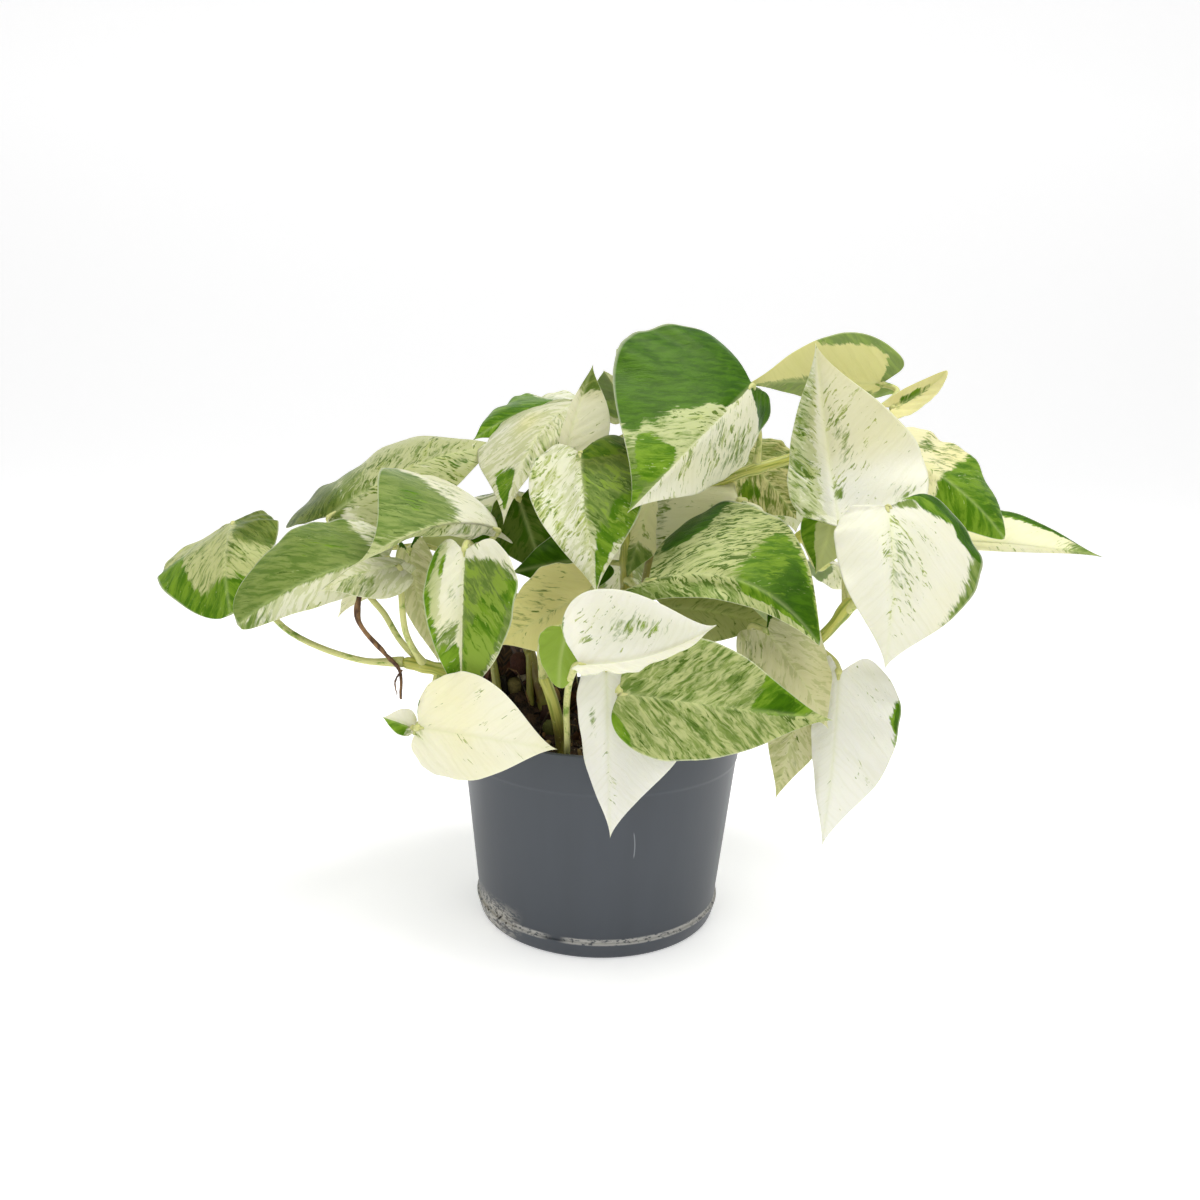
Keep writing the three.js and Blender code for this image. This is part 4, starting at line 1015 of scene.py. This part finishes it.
def petiole_mesh(leaf, number):
    """The leaf's stalk: from its stem, by its via points, to the blade and on under the midrib.
    It is stout where it sheathes the stem, swells once before the blade and then thins out."""
    base, along, _, up, _ = blade_axes(leaf)
    start = curve_points(STEMS[leaf.stem], [leaf.at])[0]
    lead = leaf.via or [base - PETIOLE_DROP * up - PETIOLE_BACK * along]
    inset = blade(leaf, np.array([PETIOLE_END]), np.array([0.0]))[0][0]
    t = np.linspace(0, 1, PETIOLE_STEPS)
    corners = [start, *lead, base, inset]
    path = curve_points(corners, t)
    joint = 1 - 1 / (len(corners) - 1)
    before, beyond = t / joint, np.clip((t - joint) / (1 - joint), 0, 1)
    radius = (PETIOLE_RADIUS + 0.9 * np.exp(-(before / 0.12) ** 2)
              + 0.3 * np.exp(-((before - 0.93) / 0.06) ** 2))
    radius = np.where(beyond > 0, 1.3 - 0.8 * beyond ** 0.7, radius)
    path -= (0.75 * soft_step(t, joint, 0.06) * radius)[:, None] * up
    points, quads, ends = sweep(path, radius, PETIOLE_SIDES)
    layers = {key: np.zeros((len(points), 4)) for key in ("tones", "tints", "edges")}
    layers["tints"][:] = (0.5, 0, 0, 1)
    uv = tube_uv(quads, ends, path, PETIOLE_SIDES, PETIOLE_RADIUS) + [MAP_STEP * number + 3, 0]
    return points, quads, ends, uv, layers


def leaf_finish():
    """Satin leaf. Every patch of a tone is cut ragged along the side veins by noise that is
    drawn out along them; finer noise gives flecks of green on cream and of cream on green; the
    midrib and the margin are pale, the underside is duller, and the stalk is pale green. The beige
    tone is painted shade, partly the leaves' own dull colour, and faint lines of painted shade run
    along the side veins."""
    leaf = Finish("variegated_blade", 0.36)
    plus, minus, times, step, mix = leaf.plus, leaf.minus, leaf.times, leaf.step, leaf.mix
    layer = lambda name: leaf.add("Attribute", attribute_name=name).outputs
    tones, tints, edges = layer("tones"), layer("tints"), layer("edges")
    pale, sage, green = leaf.split(tones["Color"])[:3]
    cream, flecks, under = leaf.split(tints["Color"])[:3]
    rib, rim, fresh = leaf.split(edges["Color"])[:3]
    deep, stalk, beige = tones["Alpha"], tints["Alpha"], edges["Alpha"]
    veins = leaf.add("UVMap", uv_map="veins").outputs[0]
    drift = leaf.add("VectorMath", leaf.noise(veins, 1.7, 2.0)[1], (0.5, 0.5, 0.5),
                     operation="SUBTRACT").outputs[0]
    drift = leaf.add("VectorMath", drift, (0.55, 0.55, 0.0), operation="MULTIPLY").outputs[0]
    veins = leaf.add("VectorMath", veins, drift).outputs[0]
    drawn = lambda scale, *settings: leaf.noise(leaf.stretched(veins, scale), 1.0, *settings)[0]
    streak = drawn((1.1, 2.1, 1), 6.0, 0.64)
    other = drawn((1.5, 2.9, 1), 6.0, 0.64)
    fine = drawn((3.0, 6.4, 1), 3.0, 0.6)
    finest = drawn((6.0, 12.0, 1), 2.0, 0.5)
    clusters = leaf.noise(veins, 0.9, 1.0)[0]
    slow = leaf.noise(leaf.place, 28.0, 2.0)[0]

    def ragged(amount, texture, spread, soft=0.05):
        """Where the amount, shifted by the texture's distance from 0.5, passes 0.5."""
        shifted = times(minus(texture, 0.5), spread)
        return step(plus(amount, shifted), 0.5 - soft, 0.5 + soft)

    def specks(texture, amount, reach):
        """The texture's peaks, which reach wider where the amount and the clusters are high."""
        cover = plus(plus(texture, times(amount, reach)), times(clusters, 0.45))
        return times(step(cover, 0.995, 1.04), step(amount, 0.02, 0.12))

    def tinted(colour, layers):
        """The colour with one layer after another mixed over it by its share."""
        for share, over in layers:
            colour = mix(share, colour, over)
        return colour

    warm = plus(cream, times(minus(slow, 0.5), 0.5))
    fleck_green = mix(step(streak, 0.4, 0.6), rgb(116, 138, 50), rgb(168, 178, 98))
    sage_green = mix(step(other, 0.4, 0.6), rgb(96, 122, 52), rgb(132, 150, 80))
    mid_green = mix(step(streak, 0.4, 0.62), rgb(72, 114, 14), rgb(118, 152, 42))
    deep_green = mix(step(other, 0.36, 0.64), rgb(40, 80, 3), rgb(66, 108, 10))
    mottle = times(plus(streak, fine), 0.5)
    greenish = times(flecks, leaf.math("MAXIMUM", sage, pale))
    greens = times(flecks, minus(green, deep, clamp=True))
    colour = tinted(mix(step(warm, 0.0, 1.0), rgb(236, 235, 224), rgb(236, 228, 156)), [
        (plus(times(ragged(pale, other, 1.5), 0.4), times(pale, 0.5)), rgb(176, 184, 120)),
        (times(specks(other, flecks, 0.20), 0.6), rgb(174, 184, 112)),
        (times(specks(fine, flecks, 0.22), 0.85), fleck_green),
        (ragged(sage, mottle, 1.9, 0.16), sage_green),
        (times(specks(fine, greenish, 0.24), 0.85), rgb(72, 98, 34)),
        (ragged(green, other, 1.0, 0.08), mid_green),
        (ragged(deep, other, 0.7), deep_green),
        (times(specks(finest, greens, 0.16), 0.4), rgb(206, 214, 160)),
        (ragged(fresh, other, 1.2), rgb(134, 160, 62))])
    # Painted shade, partly the leaves' own dull colour: where the beige tone lies, the colour is
    # multiplied down towards a dull beige.
    muted_shade = mix(1.0, colour, rgb(198, 192, 156), "MULTIPLY")
    colour = mix(times(beige, 0.8), colour, muted_shade)
    # Painted shade: faint darker, yellower lines along the side veins stand in for the shade of
    # their relief.
    grain = step(drawn((0.5, 6.0, 1), 3.0), 0.4, 0.8)
    shade = mix(times(grain, 0.25), rgb(255, 255, 255), rgb(226, 226, 200))
    stalk_green = mix(step(streak, 0.5, 0.66), rgb(206, 206, 140), rgb(122, 150, 64))
    colour = tinted(mix(1.0, colour, shade, "MULTIPLY"), [
        (times(rib, 0.4), rgb(214, 220, 160)),
        (times(rim, 0.55), rgb(232, 234, 206)),
        (times(under, 0.25), rgb(206, 208, 160)),
        (stalk, stalk_green)])
    leaf.feed(leaf.shader.inputs["Roughness"], plus(times(under, 0.2), 0.34))
    leaf.fix({"Specular IOR Level": 0.18, "Specular Tint": (0.7, 0.9, 0.25, 1.0),
              "Subsurface Weight": 0.15, "Subsurface Scale": 0.0015,
              "Subsurface Radius": (0.8, 1.0, 0.3)})
    leaf.bump(plus(other, times(finest, 0.4)), 0.0004, 0.6)
    return leaf.done(colour)


leaf_material = leaf_finish()
for number, leaf in enumerate(LEAVES):
    blade_part, petiole_part = blade_mesh(leaf, number), petiole_mesh(leaf, number)
    points, quads, caps = joined([blade_part[:3], petiole_part[:3]])
    # Corner pairs follow the faces: the four-sided ones of both parts, then the triangles
    blade_uv, petiole_uv = (np.split(part[3], [4 * len(part[1])])
                            for part in (blade_part, petiole_part))
    uv = np.vstack([blade_uv[0], petiole_uv[0], blade_uv[1], petiole_uv[1]])
    layers = {key: np.vstack([blade_part[4][key], petiole_part[4][key]]) for key in blade_part[4]}
    piece = mesh_piece("blade_" + leaf.name, points, quads, caps, leaf_material, uv, layers)
    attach(piece, "root")
    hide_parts(leaf.name + "_leaf")

# Dry leaves
# Old leaf bases that have dried up brown and stand crumpled on the heap round the feet of the
# vines. They stand where deep shade falls among the vines, and their dark brown is partly painted
# shade. They have no stalks and no painted tones.
DRY_LEAVES = [
    Leaf(*row, "", 0, "cream 0") for row in [
        ("left", (-47, 12, 84), (-43, 16, 117), (0.2, -1, 0.1), (9, 10), 3, (15, -20), (50, -40)),
        ("middle", (-38, 14, 86), (-38, 18, 126), (-0.2, -1, 0.1), (11, 12), -3, (-15, 25),
         (-50, 45)),
        ("right", (-25, 15, 82), (-26, 18, 116), (0.1, -1, 0), (9, 9), 2, (20, -15), (40, 50)),
        ("outer", (-51, 7, 80), (-52, 9, 110), (0.2, -1, 0), (6, 6), 2, (10, 15), (40, 40)),
        ("inner", (-15, 17, 80), (-16, 20, 108), (0, -1, 0.1), (6, 6), 2, (20, 10), (40, 30)),
    ]]


def dry_leaf_and_shade_finish():
    """Papery dead leaf: dark brown with lighter veins and rusty blotches. The dark brown is partly
    painted shade, for the deep shade among the feet of the vines.
    """
    dry = Finish("dried_leaf_and_shade", 0.8)
    veins = dry.stretched(dry.add("UVMap", uv_map="veins").outputs[0], (2, 7, 1))
    veins = dry.noise(veins, 1.0, 4.0)[0]
    blotch = dry.noise(dry.place, 150.0, 3.0)[0]
    colour = dry.mix(dry.step(veins, 0.4, 0.7), rgb(36, 24, 18), rgb(92, 66, 42))
    dry.bump(veins, 0.0006, 0.8)
    return dry.done(dry.mix(dry.step(blotch, 0.5, 0.7), colour, rgb(104, 58, 40)))


dry_leaf_and_shade_material = dry_leaf_and_shade_finish()
for number, leaf in enumerate(DRY_LEAVES, len(LEAVES)):
    *shape, uv, layers = blade_mesh(leaf, number)
    piece = mesh_piece("dry_leaf_" + leaf.name, *shape, dry_leaf_and_shade_material, uv)
    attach(piece, "root")

# Vine stems
# Nine living vines, each rooted 20 mm deep. A stem is smooth and fleshy, olive and brown low down
# and yellow-green towards its growing end. It is made after the leaves are listed, because it is
# swollen into a ring where a petiole leaves it.
STEM_RADIUS = 2.6
STEM_SIDES = 20
STEM_STEPS = 150
KNUCKLE_LENGTH = 2.6
KNUCKLE_RISE = 0.55
TIP_LENGTH = 4.0


def stem_finish():
    """Fleshy skin: yellow-green with darker lengthwise stripes, brown and corky low down, and
    small pale dots."""
    skin = Finish("vine_skin", 0.42)
    plus, times, step, mix = skin.plus, skin.times, skin.step, skin.mix
    grown = skin.split(skin.add("Attribute", attribute_name="grown").outputs[0])[0]
    veins = skin.stretched(skin.add("UVMap", uv_map="veins").outputs[0], (0.5, 9, 1))
    stripe = skin.noise(veins, 1.0, 3.0)[0]
    mottled = skin.noise(skin.place, 130.0, 4.0, 0.6)[0]
    young = mix(step(stripe, 0.4, 0.68), rgb(196, 196, 96), rgb(122, 140, 44))
    old = mix(step(mottled, 0.4, 0.62), rgb(136, 134, 62), rgb(104, 82, 46))
    colour = mix(step(plus(grown, times(mottled, 0.4)), 0.45, 0.95), old, young)
    dots = step(skin.noise(skin.place, 760.0, 1.0)[0], 0.7, 0.75)
    skin.fix({"Subsurface Weight": 0.12, "Subsurface Scale": 0.002})
    skin.bump(plus(stripe, times(mottled, 0.5)), 0.0003, 0.5)
    return skin.done(mix(times(dots, 0.5), colour, rgb(206, 196, 140)))


def stem_mesh(name, leaf_places):
    """A round bar along the stem's curve. Its radius is swollen by a bell curve at each place
    where a leaf starts, and narrows by sqrt(1 - 0.96 s^2) over the last millimetres of the tip.
    Its points carry their share of the length, for the finish."""
    t = np.linspace(0, 1, STEM_STEPS)
    path = curve_points(STEMS[name], t)
    length = np.concatenate([[0], np.cumsum(np.linalg.norm(np.diff(path, axis=0), axis=1))])
    radius = STEM_RADIUS * (0.97 - 0.13 * t)
    for place in leaf_places:
        away = (length - np.interp(place, t, length)) / KNUCKLE_LENGTH
        radius = radius + KNUCKLE_RISE * np.exp(-away ** 2)
    left = np.clip((length[-1] - length) / TIP_LENGTH, 0, 1)
    radius = radius * np.sqrt(np.clip(1 - 0.96 * (1 - left) ** 2, 0, 1))
    points, quads, ends = sweep(path, radius, STEM_SIDES)
    grown = np.append(np.repeat(t, STEM_SIDES), [0, 1])
    grown = np.stack([grown, grown, grown, np.ones_like(grown)], -1)
    uv = tube_uv(quads, ends, path, STEM_SIDES, STEM_RADIUS)
    return points, quads, ends, uv, grown


stem_material = stem_finish()
for name in STEMS:
    *shape, uv, grown = stem_mesh(name, [leaf.at for leaf in LEAVES if leaf.stem == name])
    vine = mesh_piece("vine_" + name.removesuffix("_stem"), *shape, stem_material, uv,
                      {"grown": grown})
    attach(vine, "root")
    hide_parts(name)

# Stalk stubs
# The lower ends of two old stalks, broken off, that stand on the heap. They are plain bars that
# taper a little and have the finish of a stem at mid length.
STUBS = {"middle": ([(-31, 3, 82), (-31.5, 4, 97), (-32, 2, 112)], 1.7),
         "left": ([(-44, 0, 84), (-46, 2, 98), (-48, 0, 113)], 1.9)}
STUB_STEPS = 24
STUB_SIDES = 12
STUB_GROWN = 0.45
for name, (path, radius) in STUBS.items():
    line = curve_points(path, np.linspace(0, 1, STUB_STEPS))
    points, quads, ends = sweep(line, radius * np.linspace(1.1, 0.8, STUB_STEPS), STUB_SIDES)
    stub = mesh_piece("stub_" + name, points, quads, ends, stem_material,
                      tube_uv(quads, ends, line, STUB_SIDES, radius),
                      {"grown": np.full((len(points), 4), STUB_GROWN)})
    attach(stub, "root")

# Studio
# A pale floor that bends up into a pale wall, a bright even sky, two large soft lights and the
# camera, which looks slightly down and is rolled by a degree and a half.
SWEEP_WIDTH = 8.0
SWEEP_FRONT = -2.0
SWEEP_BEND = 2.4
SWEEP_ROUND = 1.6
SWEEP_TOP = 4.0
SKY_STRENGTH = 0.45
LIGHT_SIZE = 1.0
SENSOR = 36.0
FOCAL_SHARE = 953 / 1200
CAMERA_PLACE = (-0.00185, -0.400, 0.205)
LOOK_DOWN = 9.8
ROLL = 1.49


def backdrop():
    """A strip along X whose profile is a floor, a quarter circle and a wall."""
    turn = np.linspace(0, math.pi / 2, 24)
    bend = np.stack([SWEEP_BEND + SWEEP_ROUND * np.sin(turn),
                     SWEEP_ROUND * (1 - np.cos(turn))], -1)
    line = np.vstack([[[SWEEP_FRONT, 0]], bend, [[SWEEP_BEND + SWEEP_ROUND, SWEEP_TOP]]])
    edge = lambda x: np.stack([np.full(len(line), x), line[:, 0], line[:, 1]], -1)
    points = np.vstack([edge(-SWEEP_WIDTH / 2), edge(SWEEP_WIDTH / 2)]) / MM
    step = np.arange(len(line) - 1)
    quads = np.stack([step, step + len(line), step + len(line) + 1, step + 1], -1)
    paper = Finish("pale_paper", 0.9)
    paper.fix({"Emission Color": rgb(255, 255, 255), "Emission Strength": 0.42})
    return mesh_piece("backdrop", points, quads, np.zeros((0, 3), int),
                      paper.done(rgb(247, 247, 247)))


def soft_light(name, place, target, power):
    """A square area light at the place, in metres, that faces the target."""
    light = bpy.data.lights.new(name, "AREA")
    light.size = LIGHT_SIZE
    light.energy = power
    lamp = bpy.data.objects.new(name, light)
    lamp.location = place
    lamp.rotation_euler = (Vector(target) - Vector(place)).to_track_quat("-Z", "Y").to_euler()
    bpy.context.scene.collection.objects.link(lamp)


floor = backdrop()

world = bpy.data.worlds.new("even_sky")
world.use_nodes = True
world.node_tree.nodes["Background"].inputs["Color"].default_value = (1, 1, 1, 1)
world.node_tree.nodes["Background"].inputs["Strength"].default_value = SKY_STRENGTH
bpy.context.scene.world = world
soft_light("overhead", (0.25, -0.2, 1.5), (0, 0, 0.1), 17.0)
soft_light("front_fill", (-0.9, -1.5, 0.8), (0, 0, 0.12), 4.5)

camera_data = bpy.data.cameras.new("camera")
camera_data.sensor_width = SENSOR
camera_data.lens = SENSOR * FOCAL_SHARE
camera = bpy.data.objects.new("camera", camera_data)
camera.location = CAMERA_PLACE
camera.rotation_mode = "ZYX"
camera.rotation_euler = (math.radians(90 - LOOK_DOWN), 0, math.radians(ROLL))
bpy.context.scene.collection.objects.link(camera)
bpy.context.scene.camera = camera
bpy.context.scene.view_settings.view_transform = "Standard"
